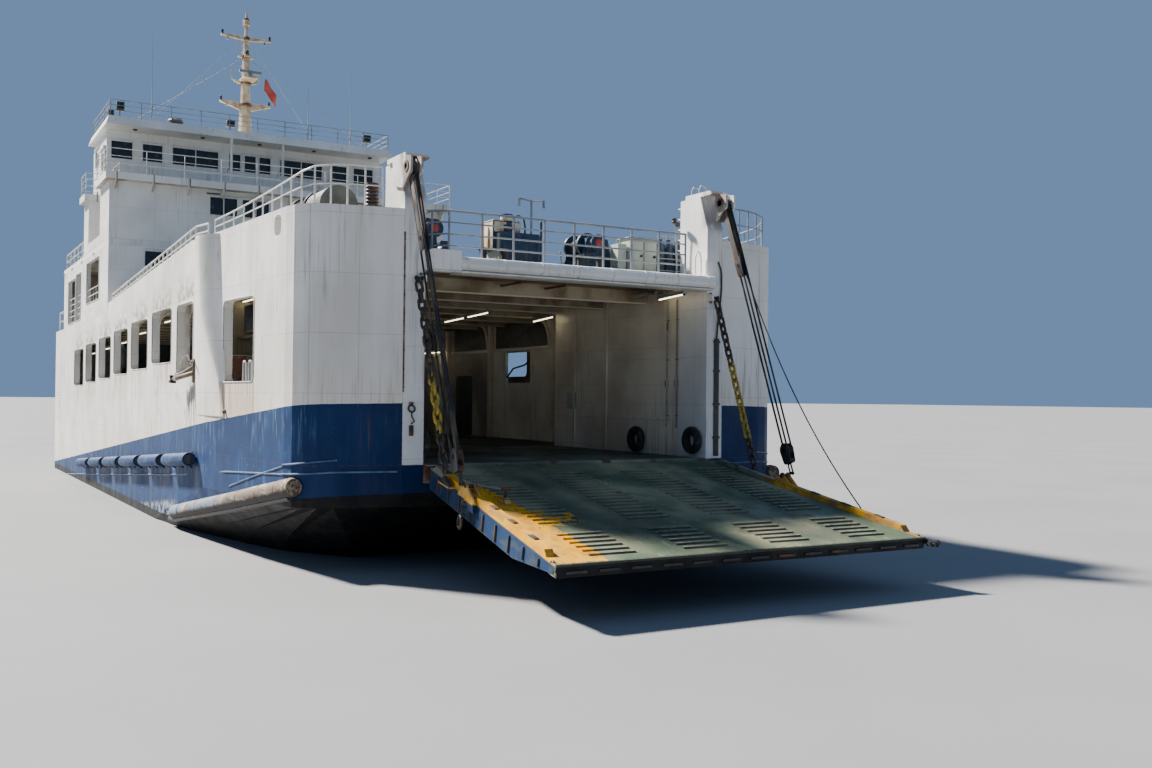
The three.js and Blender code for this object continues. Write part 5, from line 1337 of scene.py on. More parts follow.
def side_roller():
    """Hinged arm with a roller on the starboard side."""
    arm = Piece("side_roller", GREASED, WORN_BROWN, RUBBER, WHITE_TUBE, GALVANISED)
    arm.box(11.72, 11.8, -6.66, -6.58, 3.9, 4.5, 1, 0.01)
    arm.tube([(11.76, -6.62, 4.15), (11.3, -6.85, 4.05), (10.57, -6.88, 4)], 0.06, 1, 10)
    arm.tube([(11.76, -6.62, 4.32), (11.3, -6.8, 4.14), (10.7, -6.86, 4.08)], 0.045, 1, 10)
    arm.tube([(11.6, -6.66, 4.36), (11.35, -6.7, 4.62), (11.1, -6.78, 4.52), (10.85, -6.86, 4.2),
        (10.7, -6.88, 4.06)], 0.016, 4)
    arm.tube([(11.76, -6.62, 4.45), (12.07, -6.8, 4.43)], 0.03, 1)
    arm.lathe((10.52, -6.9, 3.9), (0.1, 0.1, 1), [(0, 0.05), (0, 0.09), (0.03, 0.1), (0.1, 0.07), (0.17, 0.1),
        (0.2, 0.09), (0.2, 0.05)], 2, 20)
    arm.lathe((10.9, -6.88, 3.96), (0.1, 0.1, 1), [(0, 0.03), (0, 0.06), (0.14, 0.06)], 3, 16)
    arm.done("rusty_steel")


def pylon_fittings():
    """Pins at the heads of the falls, chain bolts, hose and ladder on the pylons."""
    work = Piece("pylon_fittings", GREASED, RUSTY, WHITE_TUBE, GALVANISED)
    pinned(work, 19.68, 8.32, 3.86, 4.18, 0.05)
    for y in (3.86, 4.165):
        work.rod((19.68, y, 8.32), Y, 0.12, 0.012, 1, 24)
    work.tube([(18.35, 4.02, 8.1), (18.2, 4.02, 8), (18.1, 4, 7.4), (18.1, 4, 6.56)], 0.025, 2)
    for x, y, z in [(19.52, 3.74, 6.15), (19.52, 3.74, 5.95)]:
        work.rod((x - 0.02, y, z), X, 0.03, 0.04, 1, 6)
    work.tube([(18.3, 3.74, z) for z in (6.6, 8.5)], 0.018, 2, 6)
    for n in range(7):
        z = 6.8 + n * 0.26
        work.tube([(18.34, 3.72, z), (18.2, 3.72, z), (18.2, 4, z), (18.34, 4, z)], 0.013, 2, 6)
    work.mirror().done("white_paint")


def bow_edge_strip():
    """Flat strips, clips, hook and pipe on the front faces of the pylons."""
    strip = Piece("bow_edge_strip", RUSTY, GREASED, HOUSE, BLACK)
    strip.box(BOW_X, BOW_X + 0.015, -4.12, -4.085, 3.7, 7, 0, 0.003)
    for n in range(9):
        strip.lathe((BOW_X, -4.1, 3.8 + n * 0.38), X, [(0, 0.02), (0.035, 0.015)], 1, 6)
    strip.box(BOW_X, BOW_X + 0.03, -3.98, -3.88, 3.42, 3.5, 0, 0.006)
    strip.ring((BOW_X + 0.05, -3.93, 3.36), (1, 0, 0.2), 0.07, 0.02, 1)
    strip.tube([(BOW_X + 0.05, -3.93, 3.3), (BOW_X + 0.06, -3.93, 3.2), (BOW_X + 0.06, -3.87, 3.1),
        (BOW_X + 0.06, -3.94, 3.05)], 0.018, 1)
    strip.box(BOW_X, BOW_X + 0.03, -3.97, -3.87, 2.8, 3.02, 1, 0.01)
    pipe = [(3.95, 6.93), (4.03, 6.75), (4.05, 6.61), (4.056, 6.33), (4.03, 6), (3.99, 5.68), (3.95, 5.4),
        (3.92, 5.08)]
    strip.tube([(BOW_X + 0.03, y, z) for y, z in pipe], 0.022, 1)
    # Black plate on the port pylon's front for a dark channel there: partly dirt, partly painted shade
    strip.box(BOW_X, BOW_X + 0.022, 3.86, 4.01, 2.25, 5.08, 3, 0.006)
    for z in (2.7, 3.5, 4.3, 5):
        strip.box(BOW_X, BOW_X + 0.04, 3.84, 4.03, z - 0.03, z + 0.03, 3, 0.006)
    strip.done("rusty_steel")


def bow_edge():
    """Lower lip of the header, deck edge bar and the doubling at the opening's sides."""
    edge = Piece("bow_edge", WHITE_TUBE, RUSTY, TUBE_LIGHT, GREASED, HOUSE)
    edge.box(19.2, 19.82, -2.95, 3.62, 6.205, 6.238, 0, 0.006)
    edge.box(19.56, 19.83, -3.6, -2.9, 6.2, 6.236, 0, 0.006)
    for n in range(8):
        y = -2.8 + n * 0.9
        edge.lathe((19.67, y - 0.012, 6.4), Y, [(0, 0.1), (0, 0.161), (0.024, 0.161), (0.024, 0.1)], 4, 24)
    edge.tube([(19.66, -3.02, 6.4), (19.68, -3, 6.4)], 0.155, 0, 24)
    edge.box(19.52, 19.72, -3.62, 3.62, 2.185, 2.203, 3, 0.004)
    edge.done("white_paint")


def bitts(piece, x, y, z, number=0, lengthways=True):
    """A pair of bitts on a plate."""
    dx, dy = (0.26, 0) if lengthways else (0, 0.26)
    piece.box(x - 0.14 - dx, x + 0.14 + dx, y - 0.14 - dy, y + 0.14 + dy, z + LIFT, z + 0.035, number, 0.01)
    for sign in (-1, 1):
        piece.lathe((x + sign * dx, y + sign * dy, z + 0.03), Z,
            [(0, 0.1), (0.02, 0.085), (0.3, 0.085), (0.31, 0.115), (0.35, 0.12), (0.37, 0.09), (0.375, 0.01)],
            number, 24)


def vent(piece, x, y, z, height, radius, number=0):
    """Mushroom vent."""
    piece.lathe((x, y, z + LIFT), Z, [(0, radius * 1.3), (0.03, radius * 1.3), (0.04, radius),
        (height - 0.12, radius), (height - 0.12, radius * 1.8), (height - 0.06, radius * 1.85),
        (height - 0.02, radius * 1.3), (height, radius * 0.3)], number, 24)


def lifebuoy(piece, centre, axis, orange, white):
    """Ring buoy with four bands."""
    axis = Vector(axis).normalized()
    piece.ring(centre, axis, 0.27, 0.062, orange, 32, 12)
    side = axis.orthogonal().normalized()
    up = axis.cross(side)
    for n in range(4):
        angle = pi * (n / 2 + 0.25)
        points = []
        for k in range(-3, 4):
            a = angle + k * 0.07
            points.append(Vector(centre) + (side * cos(a) + up * sin(a)) * 0.27)
        piece.tube(points, 0.066, white, 12)


def foredeck():
    """Gear that stands on the deck over the bow."""
    gear = Piece("foredeck_gear", MACHINE, WHITE_TUBE, BLACK, GALVANISED, CABINET, RUSTY, ORANGE, RED,
        CREAM_MAST)
    winch_cover(gear)
    deck_cabinet(gear)
    upper_deck(gear)
    gear.done("machine_blue")


def winch_cover(gear):
    """Cover, panels, horn and lamp post about the winch housing."""
    gear.box(17.42, 17.93, -1.3, -0.64, 7.68, 7.72, 1, 0.012)
    gear.box(18.1, 18.115, -1.14, -0.26, 6.64, 7.34, 0, 0.006)
    gear.box(17.36, 18.09, -1.225, -1.2, 6.62, 7.4, 4, 0.008)
    gear.box(17.4, 17.96, -1.335, -1.32, 7.02, 7.66, 8, 0.006)
    gear.box(17.95, 17.965, -1.31, -0.63, 7.42, 7.67, 8, 0.006)
    gear.box(17.962, 17.975, -1.06, -0.84, 7.44, 7.6, 2, 0.02)
    gear.lathe((17.85, -0.92, 7.7), Z, [(0, 0.14), (0.02, 0.15), (0.12, 0.15), (0.16, 0.1), (0.165, 0.03)], 8,
        24)
    gear.tube([(17.92, -0.8, 7.8), (17.95, -0.66, 7.84), (17.98, -0.55, 7.78), (18, -0.52, 7.6),
        (18, -0.52, 7.43)], 0.022, 2, 10)
    gear.box(18.1, 18.15, -0.2, -0.14, 6.62, 7.72, 2, 0.012)
    gear.tube([(17.62, -1.42, 6.56), (17.62, -1.42, 7.66)], 0.03, 8, 10)
    gear.box(17.35, 18.12, -1.22, -0.18, UPPER_Z + LIFT, UPPER_Z + 0.06, 5, 0.008)


def deck_cabinet(gear):
    """Doors, top and pipes of the deck cabinet and the air bottles."""
    for y0, y1, x in [(2.42, 2.79, 18), (2.81, 3.18, 18)]:
        gear.box(x - 0.005, x + 0.018, y0, y1, 6.72, 7.5, 4, 0.008)
        gear.lathe((x + 0.012, (y0 + y1) / 2 + 0.12, 7.14), X, [(0, 0.03), (0.03, 0.035), (0.05, 0.02)], 2,
            14)
    gear.box(17.46, 18.04, 2.36, 3.24, 7.56, 7.6, 4, 0.012)
    for y in (2.2, 2.3):
        gear.rod((17.72, y, 7.42), Z, 0.02, 0.12, 3, 8)
    for y in (3.36, 3.62, 3.88):
        gear.lathe((17.9, y, 7.6), Z, [(0, 0.035), (0.06, 0.035), (0.07, 0.055), (0.1, 0.055)], 3, 12)
    gear.box(18.02, 18.05, 3.24, 4, 7.1, 7.14, 3, 0.006)
    gear.box(18.02, 18.05, 3.24, 4, 6.8, 6.84, 3, 0.006)
    gear.tube([(17.9, 3.36, 7.68), (17.9, 3.62, 7.72), (17.9, 3.88, 7.68), (17.6, 3.9, 7.5),
        (17.5, 3.9, 6.56)], 0.014, 3)
    hoop = [(19.35, 3.4, 6.56), (19.35, 3.4, 7), (19.35, 3.43, 7.12), (19.35, 3.485, 7.17),
        (19.35, 3.54, 7.12), (19.35, 3.57, 7), (19.35, 3.57, 6.56)]
    gear.tube(hoop, 0.018, 1)


def upper_deck(gear):
    """Bitts, vents, hatches, rafts and lockers."""
    for x, y, long in [(16.2, -1.9, True), (16.2, 2.4, True), (18.6, 0.9, False), (18.55, -1.6, False)]:
        bitts(gear, x, y, UPPER_Z, 2, long)
    for x, y, high in [(15.6, 3, 0.7), (14.4, -2.9, 0.8), (12.6, 2.7, 0.9), (10.4, -3.3, 0.8)]:
        vent(gear, x, y, UPPER_Z, high, 0.11, 1)
    for side in (-1, 1):
        for x in (12, 6, 0.5):
            gear.box(x - 0.55, x + 0.55, side * 4.9 - 0.4, side * 4.9 + 0.4, UPPER_Z + LIFT, UPPER_Z + 0.16,
                1, 0.02)
            gear.box(x - 0.6, x + 0.6, side * 4.9 - 0.45, side * 4.9 + 0.45, UPPER_Z + 0.15, UPPER_Z + 0.2, 3,
                0.02)
        for n in range(3):
            y = side * 4.9
            gear.lathe((9.2 - n * 0.62, y, UPPER_Z + 0.5), Y, [(-0.56, 0.1), (-0.55, 0.25), (-0.5, 0.29),
                (-0.02, 0.29), (-0.015, 0.3), (0.015, 0.3), (0.02, 0.29), (0.5, 0.29), (0.55, 0.25),
                (0.56, 0.1)], 1, 28)
            gear.box(9 - n * 0.62, 9.4 - n * 0.62, y - 0.45, y + 0.45, UPPER_Z + LIFT, UPPER_Z + 0.22, 3,
                0.01)
    for x, y, height in [(-1.8, -5.6, 1.1), (-1.8, 5.6, 1.1)]:
        gear.box(x - 0.2, x + 0.2, y - 0.5, y + 0.5, UPPER_Z + LIFT, UPPER_Z + height, 1, 0.02)


def bow_wing_gear():
    """Hood arches, vent, lamp, fairlead hoops and hose reel on the bow wings."""
    work = Piece("bow_wing_gear", HOOD_GREY, BLACK, ORANGE, WHITE_TUBE, GALVANISED, RUSTY, GREASED, RED,
        DARK_RED)
    starboard_wing(work)
    port_wing(work)
    work.done("white_paint")


def starboard_wing(work):
    """Arches and door of the stair hood, and the striped vent."""
    for x in (16.08, 17.21):
        arch = [(x, y, z) for y, z in arc(-5.1, 7.62, 0.44, steps=14)]
        work.tube([(x, -4.66, 6.6)] + arch + [(x, -5.54, 6.6)], 0.03, 1)
    work.box(17.2, 17.215, -5.42, -4.78, 6.75, 7.55, 1, 0.01)
    work.lathe((18.95, -4.62, 7.54), Z, [(0, 0.05), (0, 0.145), (0.03, 0.15), (0.08, 0.12), (0.4, 0.12),
        (0.45, 0.15), (0.48, 0.145), (0.48, 0.05)], 8, 24)
    for n in range(5):
        work.ring((18.95, -4.62, 7.64 + n * 0.075), Z, 0.125, 0.03, 8 if n % 2 else 1, 24, 8)
    work.tube([(18.95, -4.62, 7.5), (18.95, -4.62, 6.56)], 0.035, 1)


def port_wing(work):
    """Lamp, hoops over the pylon, hose reel and round vents."""
    work.tube([(18.5, 3.46, 6.556), (18.5, 3.44, 7.6), (18.5, 3.42, 7.85), (18.5, 3.38, 7.97),
        (18.52, 3.3, 8)], 0.022, 4)
    work.lathe((18.5, 3.38, 8.02), (0.6, -0.7, -0.35), [(-0.07, 0.03), (-0.05, 0.055), (0.05, 0.07),
        (0.07, 0.065)], 6, 20)
    work.box(18.45, 18.55, 3.4, 3.52, 7.86, 7.98, 6, 0.012)
    for x in (18.75, 19.05):
        hoop = [(x, 3.72, 8.6), (x, 3.72, 8.74), (x, 3.78, 8.83), (x, 3.88, 8.83), (x, 3.94, 8.74),
            (x, 3.94, 8.6)]
        work.tube(hoop, 0.018, 4)
    for y in (5.05, 6.05):
        work.prism([(18.2, 6.556), (18.75, 6.556), (18.55, 7.25), (18.4, 7.25)], "y", y - 0.03, y + 0.03, 1,
            0.01)
        work.lathe((18.48, y - 0.02, 7.16), Y, [(0, 0.1), (0, 0.36), (0.04, 0.36), (0.04, 0.1)], 1, 32)
    work.rod((18.48, 5.05, 7.16), Y, 0.09, 1, 1, 20)
    work.tube([(18.48 + a, y, 7.16 + b) for y, a, b in coil(20, 20, 0.22, 5.12, 0.86)], 0.024, 6, 6)
    for y in (-5.2, 5.2):
        work.lathe((14.2, y, 6.556), Z, [(0, 0.13), (0.02, 0.13), (0.03, 0.09), (0.4, 0.09), (0.41, 0.17),
            (0.5, 0.16), (0.54, 0.05)], 3, 24)


WHEEL_WINDOWS = [(-5.73, -4.87), (-4.5, -3.68), (-3.3, -1.38), (-0.96, -0.44), (-0.29, 0.22), (0.35, 0.87),
    (1.27, 3.2), (3.55, 4.35), (4.65, 5.6)]
WHEEL_Z = (13.3, 14.05)
CREW_WINDOWS = [(-3.03, -1.98), (-1.81, -0.76), (0.76, 1.81), (1.98, 3.03)]
CREW_Z = (10.43, 11.13)
PANE_IN = 0.045


def window(piece, axis, face, outward_sign, a0, a1, z0, z1, frame_number, glass_number, split=0):
    """Frame, pane, sill and hood of a window in a wall whose outer face is at face on the axis."""
    def block(a_low, a_high, b_low, b_high, near, far, number, bevel=0):
        low, high = sorted((face + outward_sign * near, face + outward_sign * far))
        outline = [(a_low, b_low), (a_high, b_low), (a_high, b_high), (a_low, b_high)]
        piece.prism(outline, axis, low, high, number, bevel)
    block(a0 - 0.004, a1 + 0.004, z0 - 0.004, z1 + 0.004, -PANE_IN - 0.008, -PANE_IN, glass_number)
    rim = 0.035
    block(a0 - rim, a0 + 0.02, z0 - rim, z1 + rim, -PANE_IN, 0.018, frame_number, 0.006)
    block(a1 - 0.02, a1 + rim, z0 - rim, z1 + rim, -PANE_IN, 0.018, frame_number, 0.006)
    block(a0 + 0.018, a1 - 0.018, z1 - 0.02, z1 + rim, -PANE_IN, 0.018, frame_number, 0.006)
    block(a0 + 0.018, a1 - 0.018, z0 - rim, z0 + 0.02, -PANE_IN, 0.018, frame_number, 0.006)
    block(a0 - 0.07, a1 + 0.07, z1 + 0.05, z1 + 0.075, 0, 0.055, frame_number, 0.005)
    for n in range(split):
        a = a0 + (a1 - a0) * (n + 1) / (split + 1)
        block(a - 0.02, a + 0.02, z0 + 0.018, z1 - 0.018, -PANE_IN, 0.008, frame_number, 0.005)


def windows():
    glazing = Piece("windows", WHEEL, GLASS, BLACK)
    front = WHEEL_HIGH.x
    for y0, y1 in WHEEL_WINDOWS:
        window(glazing, "x", front, 1, y0, y1, *WHEEL_Z, 0, 1, 1 if y1 - y0 > 1.5 else 0)
    for y0, y1 in [(-4.6, -3), (-0.8, 0.8), (3, 4.6)]:
        window(glazing, "x", WHEEL_LOW.x, -1, y0, y1, *WHEEL_Z, 0, 1, 1)
    for side in (-1, 1):
        window(glazing, "y", side * 5.9, side, -11.7, -10.6, *WHEEL_Z, 0, 1, 1)
    for y0, y1 in CREW_WINDOWS:
        window(glazing, "x", HOUSE_X, 1, y0, y1, *CREW_Z, 0, 1, 1)
    for y0, y1 in [(-5.35, -4.37), (4.37, 5.35)]:
        window(glazing, "x", HOUSE_X, 1, y0, y1, 8.31, 8.9, 0, 1)
    for y in (-2.79, -1.02, 1.14, 3.44):
        glazing.tube([(front + 0.03, y, 13.2), (front + 0.05, y, 13.26), (front + 0.055, y + 0.22, 13.75)],
            0.009, 2, 6)
    glazing.done("white_paint")


def wheel_doors():
    for name, side in SIDES.items():
        leaf = Piece(f"door_pane_{name}", GLASS, WHEEL, GALVANISED)
        leaf.box(-9.32, -8.9, 5.955, 5.965, 12.88, 13.52, 0)
        for y in (5.935, 5.985):
            outline = rounded(-9.34, -8.88, 12.87, 13.53, 0.05)
            leaf.tube([(x, y, z) for x, z in outline], 0.014, 1, 6, closed=True)
        leaf.tube([(-8.95, 5.99, 12.55), (-8.95, 6.03, 12.55), (-9.07, 6.03, 12.55)], 0.012, 2)
        leaf.done("white_paint", f"wheelhouse_door_{name}", side=side)


# Passenger-deck openings on each side. Columns: x from, x to, z from, z to, bars
HOUSE_OPENINGS = [(-8.37, -4.98, 7.2, 8.84, 2), (-11.55, -10.05, 6.68, 8.68, 4),
    (-14.23, -11.8, 6.68, 8.58, 4)]


def house_details():
    """Bars, coamings, benches, ladders, lamps and lockers on the passenger house and above."""
    work = Piece("house_details", PASSENGER, WHITE_TUBE, GREY_TUBE, MACHINE, BLACK, ORANGE, CREAM_MAST, RUSTY)
    opening_bars(work)
    benches(work)
    house_front(work)
    house_sides(work)
    house_edges(work)
    work.done("white_paint")


def opening_bars(work):
    """Lips and bars of the passenger deck's openings."""
    for x0, x1, z0, z1, bars in HOUSE_OPENINGS:
        for side in (-1, 1):
            outline = rounded(x0, x1, z0, z1, 0.04, 2)
            work.tube([(x, side * (SIDE_HALF + 0.008), z) for x, z in outline], 0.018, 0, 6, closed=True)
            for n in range(bars):
                z = z0 + 0.3 + n * 0.26
                work.tube([(x0, side * 6.54, z), (x1, side * 6.54, z)], 0.017, 1, 6)
            for n in range(1, int((x1 - x0) / 0.75) + 1):
                x = x0 + n * 0.75
                if x < x1 - 0.1:
                    work.tube([(x, side * 6.54, z0), (x, side * 6.54, z0 + 0.3 + 0.26 * (bars - 1))], 0.017,
                        1, 6)


def benches(work):
    """Rows of seats on the passenger deck."""
    for row in range(8):
        x = -4.6 - row * 1.25
        for side in (-1, 1):
            y0, y1 = span(side, 1, 5.6)
            work.box(x - 0.48, x, y0, y1, UPPER_Z + 0.38, UPPER_Z + 0.45, 3, 0.015)
            work.prism([(x - 0.5, UPPER_Z + 0.42), (x - 0.45, UPPER_Z + 0.42), (x - 0.56, UPPER_Z + 1),
                (x - 0.61, UPPER_Z + 1)], "y", y0, y1, 3, 0.012)
            for n in range(4):
                y = y0 + 0.3 + n * (y1 - y0 - 0.6) / 3
                work.box(x - 0.46, x - 0.04, y - 0.03, y + 0.03, UPPER_Z + LIFT, UPPER_Z + 0.39, 2, 0.006)


def house_front(work):
    """Ring buoys and doors on the front of the passenger house."""
    for side in (-1, 1):
        lifebuoy(work, (HOUSE_X + 0.07, side * 3.4, 8), X, 5, 1)
        work.box(HOUSE_X, HOUSE_X + 0.09, side * 3.4 - 0.05, side * 3.4 + 0.05, 7.9, 8.1, 1, 0.01)
        outline = rounded(side * 1.55 - 0.42, side * 1.55 + 0.42, 6.7, 8.62, 0.1)
        work.prism(outline, "x", HOUSE_X + 0.002, HOUSE_X + 0.05, 0, 0.012)
        work.tube([(HOUSE_X + 0.055, y, z) for y, z in outline], 0.02, 1, 6, closed=True)
        for z in (7, 7.65, 8.3):
            work.rod((HOUSE_X + 0.04, side * 1.55 - 0.36, z), X, 0.03, 0.04, 7, 8)
            work.tube([(HOUSE_X + 0.07, side * 1.55 - 0.38, z), (HOUSE_X + 0.08, side * 1.55 - 0.2, z)],
                0.012, 7, 6)


def house_sides(work):
    """Ladders, lockers, boards and life rafts abaft the bridge."""
    for side in (-1, 1):
        for n in range(14):
            z = 9.45 + n * 0.3
            if z < 11.3:
                work.tube([(-12.62, side * 4.6 - 0.2, z), (-12.62, side * 4.6 + 0.2, z)], 0.014, 1, 6)
        for y in (side * 4.6 - 0.2, side * 4.6 + 0.2):
            work.tube([(-12.62, y, 9.3), (-12.62, y, 12.4)], 0.018, 1, 6)
        work.box(-9.98, -9.82, side * 6.4 - 0.1, side * 6.4 + 0.1, BOAT_DECK_Z + LIFT, 9.95, 4, 0.02)
        vent(work, -9.9, side * 6.4, 9.9, 0.34, 0.07, 4)
        work.prism(rounded(-5.95, -5.6, 11, 11.36, 0.05), "y", *span(side, 6.59, 6.606), 4)
        for x in (-13.1, -14.6):
            work.lathe((x, side * 5.75, BOAT_DECK_Z + 0.42), X,
                [(-0.6, 0.1), (-0.59, 0.26), (-0.52, 0.31), (-0.03, 0.31), (-0.02, 0.325), (0.02, 0.325),
                (0.03, 0.31), (0.52, 0.31), (0.59, 0.26), (0.6, 0.1)], 1, 28)
            for dx in (-0.35, 0.35):
                work.box(x + dx - 0.04, x + dx + 0.04, side * 5.75 - 0.3, side * 5.75 + 0.3,
                    BOAT_DECK_Z + LIFT, BOAT_DECK_Z + 0.2, 2, 0.01)
                work.ring((x + dx, side * 5.75, BOAT_DECK_Z + 0.42), X, 0.315, 0.012, 4, 28, 6)


def house_edges(work):
    """Brackets, lamps and boxes along the front edges."""
    for n in range(11):
        y = -6.4 + n * 1.28
        work.box(-2.42, -2.385, y - 0.02, y + 0.02, 11.36, 11.66, 7, 0.004)
    for y in (-4.9, -2.2, 0.2, 2.6, 5.2):
        work.lathe((-7.95, y, 14.4), Z, [(0, 0.05), (0.02, 0.09), (0.06, 0.09)], 4, 14)
    for y in (-3, 3):
        work.box(-2.42, -2.34, y - 0.25, y + 0.25, 11.12, 11.2, 4, 0.01)


def funnel_details():
    stack = Piece("funnel_details", BLACK, WHITE_TUBE, RUSTY, FUNNEL_BLUE)
    stack.box(-15.24, -13.86, 3.16, 4.64, 11.9, 12.24, 0, 0.02)
    stack.box(-15.23, -13.87, 3.17, 4.63, 11.1, 11.5, 1, 0.01)
    for n in range(7):
        z = 9.75 + n * 0.12
        stack.box(-13.9, -13.86, 3.5, 4.3, z, z + 0.07, 3, 0.01)
        stack.box(-15.24, -15.2, 3.5, 4.3, z, z + 0.07, 3, 0.01)
    stack.lathe((-14.5, 3.9, 12.2), (-0.14, 0, 1), [(0, 0.29), (0.05, 0.29), (0.06, 0.262), (0.56, 0.262),
        (0.57, 0.28), (0.605, 0.28), (0.605, 0.22), (0.4, 0.2)], 2, 28)
    stack.lathe((-14.9, 4.35, 12.2), (-0.14, 0, 1), [(0, 0.08), (0.42, 0.08), (0.42, 0.06), (0.3, 0.06)], 2,
        16)
    stack.lathe((-14.9, 3.5, 12.2), (-0.14, 0, 1), [(0, 0.08), (0.36, 0.08), (0.36, 0.06), (0.3, 0.06)], 2,
        16)
    stack.mirror().done("hull_blue")


MAST_X = -9.7


def lamp(piece, x, y, z, radius, height, glass, metal):
    piece.rod((x, y, z), Z, radius, height * 0.2, metal, 16)
    piece.rod((x, y, z + height * 0.2), Z, radius * 0.85, height * 0.5, glass, 16)
    piece.lathe((x, y, z + height * 0.7), Z, [(0, radius), (height * 0.15, radius),
        (height * 0.3, radius * 0.3)], metal, 16)


def mast_gear():
    """Lamps, yard ends, ladder, stays and halyards on the mast."""
    gear = Piece("mast_gear", CREAM_MAST, BLACK, GLASS, GALVANISED, RUSTY)
    for z, reach in [(16.6, 1.12), (19.55, 1.1)]:
        for side in (-1, 1):
            lamp(gear, MAST_X, side * (reach - 0.06), z + 0.01, 0.055, 0.2, 2, 1)
            gear.rod((MAST_X, side * (reach - 0.28), z - 0.22), Z, 0.045, 0.14, 3, 12)
        gear.tube([(MAST_X, -reach, z), (MAST_X, reach, z)], 0.028)
    for z, radius in [(16.42, 0.285), (17.42, 0.21), (18.6, 0.17), (19.42, 0.135)]:
        gear.lathe((MAST_X, 0, z), Z, [(0, radius), (0.02, radius + 0.025), (0.12, radius + 0.025),
            (0.14, radius)], 4, 20)
    lamp(gear, MAST_X + 0.22, 0, 18.68, 0.07, 0.24, 2, 1)
    lamp(gear, MAST_X, 0, 20.12, 0.11, 0.3, 2, 1)
    gear.box(MAST_X + 0.1, MAST_X + 0.34, -0.12, 0.12, 18.62, 18.69, 0, 0.01)
    gear.tube([(MAST_X, -0.52, 17.58), (MAST_X, -0.63, 17.6), (MAST_X, -0.63, 18.15)], 0.022)
    gear.tube([(MAST_X, 0.52, 17.58), (MAST_X, 0.6, 17.6), (MAST_X, 0.6, 17.95)], 0.022)
    gear.lathe((MAST_X, 0, 20.6), Z, [(0, 0.03), (0.05, 0.012)], 3, 8)
    for n in range(15):
        z = 15 + n * 0.3
        reach = 0.33 - (z - 14.8) * 0.047 if z < 17.3 else 0.2 - (z - 17.25) * 0.034
        x = MAST_X - reach - 0.09
        gear.tube([(x + 0.1, -0.14, z), (x, -0.14, z), (x, 0.14, z), (x + 0.1, 0.14, z)], 0.012, 0, 6)
    for y in (-0.35, -0.12, 0.12, 0.35):
        gear.tube([(MAST_X + 0.45, y * 0.8, 17.6), (MAST_X + 0.45, y, 17.75)], 0.012, 3, 6)
    for side in (-1, 1):
        low = (MAST_X - 2.5, side * 4.6, ROOF_Z + 0.02)
        gear.tube([(MAST_X, side * 0.1, 19.5), low], 0.009, 3, 6)
        gear.tube([(MAST_X, side * 0.12, 18.6), (MAST_X + 1.9, side * 4.9, ROOF_Z + 0.02)], 0.009, 3, 6)
        for x, y in [(MAST_X - 2.5, side * 4.6), (MAST_X + 1.9, side * 4.9)]:
            gear.lathe((x, y, ROOF_Z), Z, [(0, 0.07), (0.015, 0.07), (0.02, 0.03), (0.06, 0.03)], 3, 10)
        gear.tube([(MAST_X, side * 1, 19.52), (MAST_X + 0.05, side * 1.04, 17),
            (MAST_X + 0.1, side * 1.05, 16.62)], 0.006, 3, 5)
    gear.done("cream_paint")


# Signal flag on the port halyard: hoist along the halyard, drooping fly
FLAG_HOIST = 0.56


def flag_cloth():
    cloth = Surface("flag_cloth", roughness=0.85)
    _, y, z = cloth.axes(cloth.place)
    weave = cloth.add(cloth.math("PINGPONG", cloth.mul(y, 900), 1),
        cloth.math("PINGPONG", cloth.mul(z, 900), 1))
    cloth.bump(weave, 0.0006, 0.4)
    faded = cloth.patches(0.35, 0.7, 0.12, detail=4)
    material = cloth.set(base_color=cloth.mix(faded, (0.5, 0.045, 0.025), (0.4, 0.1, 0.06)))
    material.node_tree.nodes["Principled BSDF"].inputs["Sheen Weight"].default_value = 0.3
    return material


def flag():
    """Signal flag, drawn as it hangs in folds."""
    sheet = bmesh.new()
    across, down = 22, 16
    grid = []
    for i in range(across + 1):
        t = i / across
        column = []
        for j in range(down + 1):
            s = j / down
            fold = sin(t * 9 + s * 1.4) * 0.055 * sqrt(t)
            ripple = sin(t * 21 - s * 2.1) * 0.012 * t
            y_at = 0.84 + 0.52 * t - 0.05 * s + 0.03 * t * s
            z_at = 17.82 - FLAG_HOIST * s - 0.72 * t ** 1.15 + 0.02 * sin(t * 7)
            column.append(sheet.verts.new(Vector((MAST_X + 0.08 + fold + ripple, y_at, z_at)) * SCALE))
        grid.append(column)
    for i in range(across):
        for j in range(down):
            sheet.faces.new((grid[i][j], grid[i + 1][j], grid[i + 1][j + 1], grid[i][j + 1]))
    mesh = bpy.data.meshes.new("signal_flag")
    sheet.to_mesh(mesh)
    sheet.free()
    for face in mesh.polygons:
        face.use_smooth = True
    mesh.materials.append(flag_cloth())
    made = bpy.data.objects.new("signal_flag", mesh)
    bpy.context.scene.collection.objects.link(made)
    thick = made.modifiers.new("thick", "SOLIDIFY")
    thick.thickness = 0.0012
    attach(made, "root")


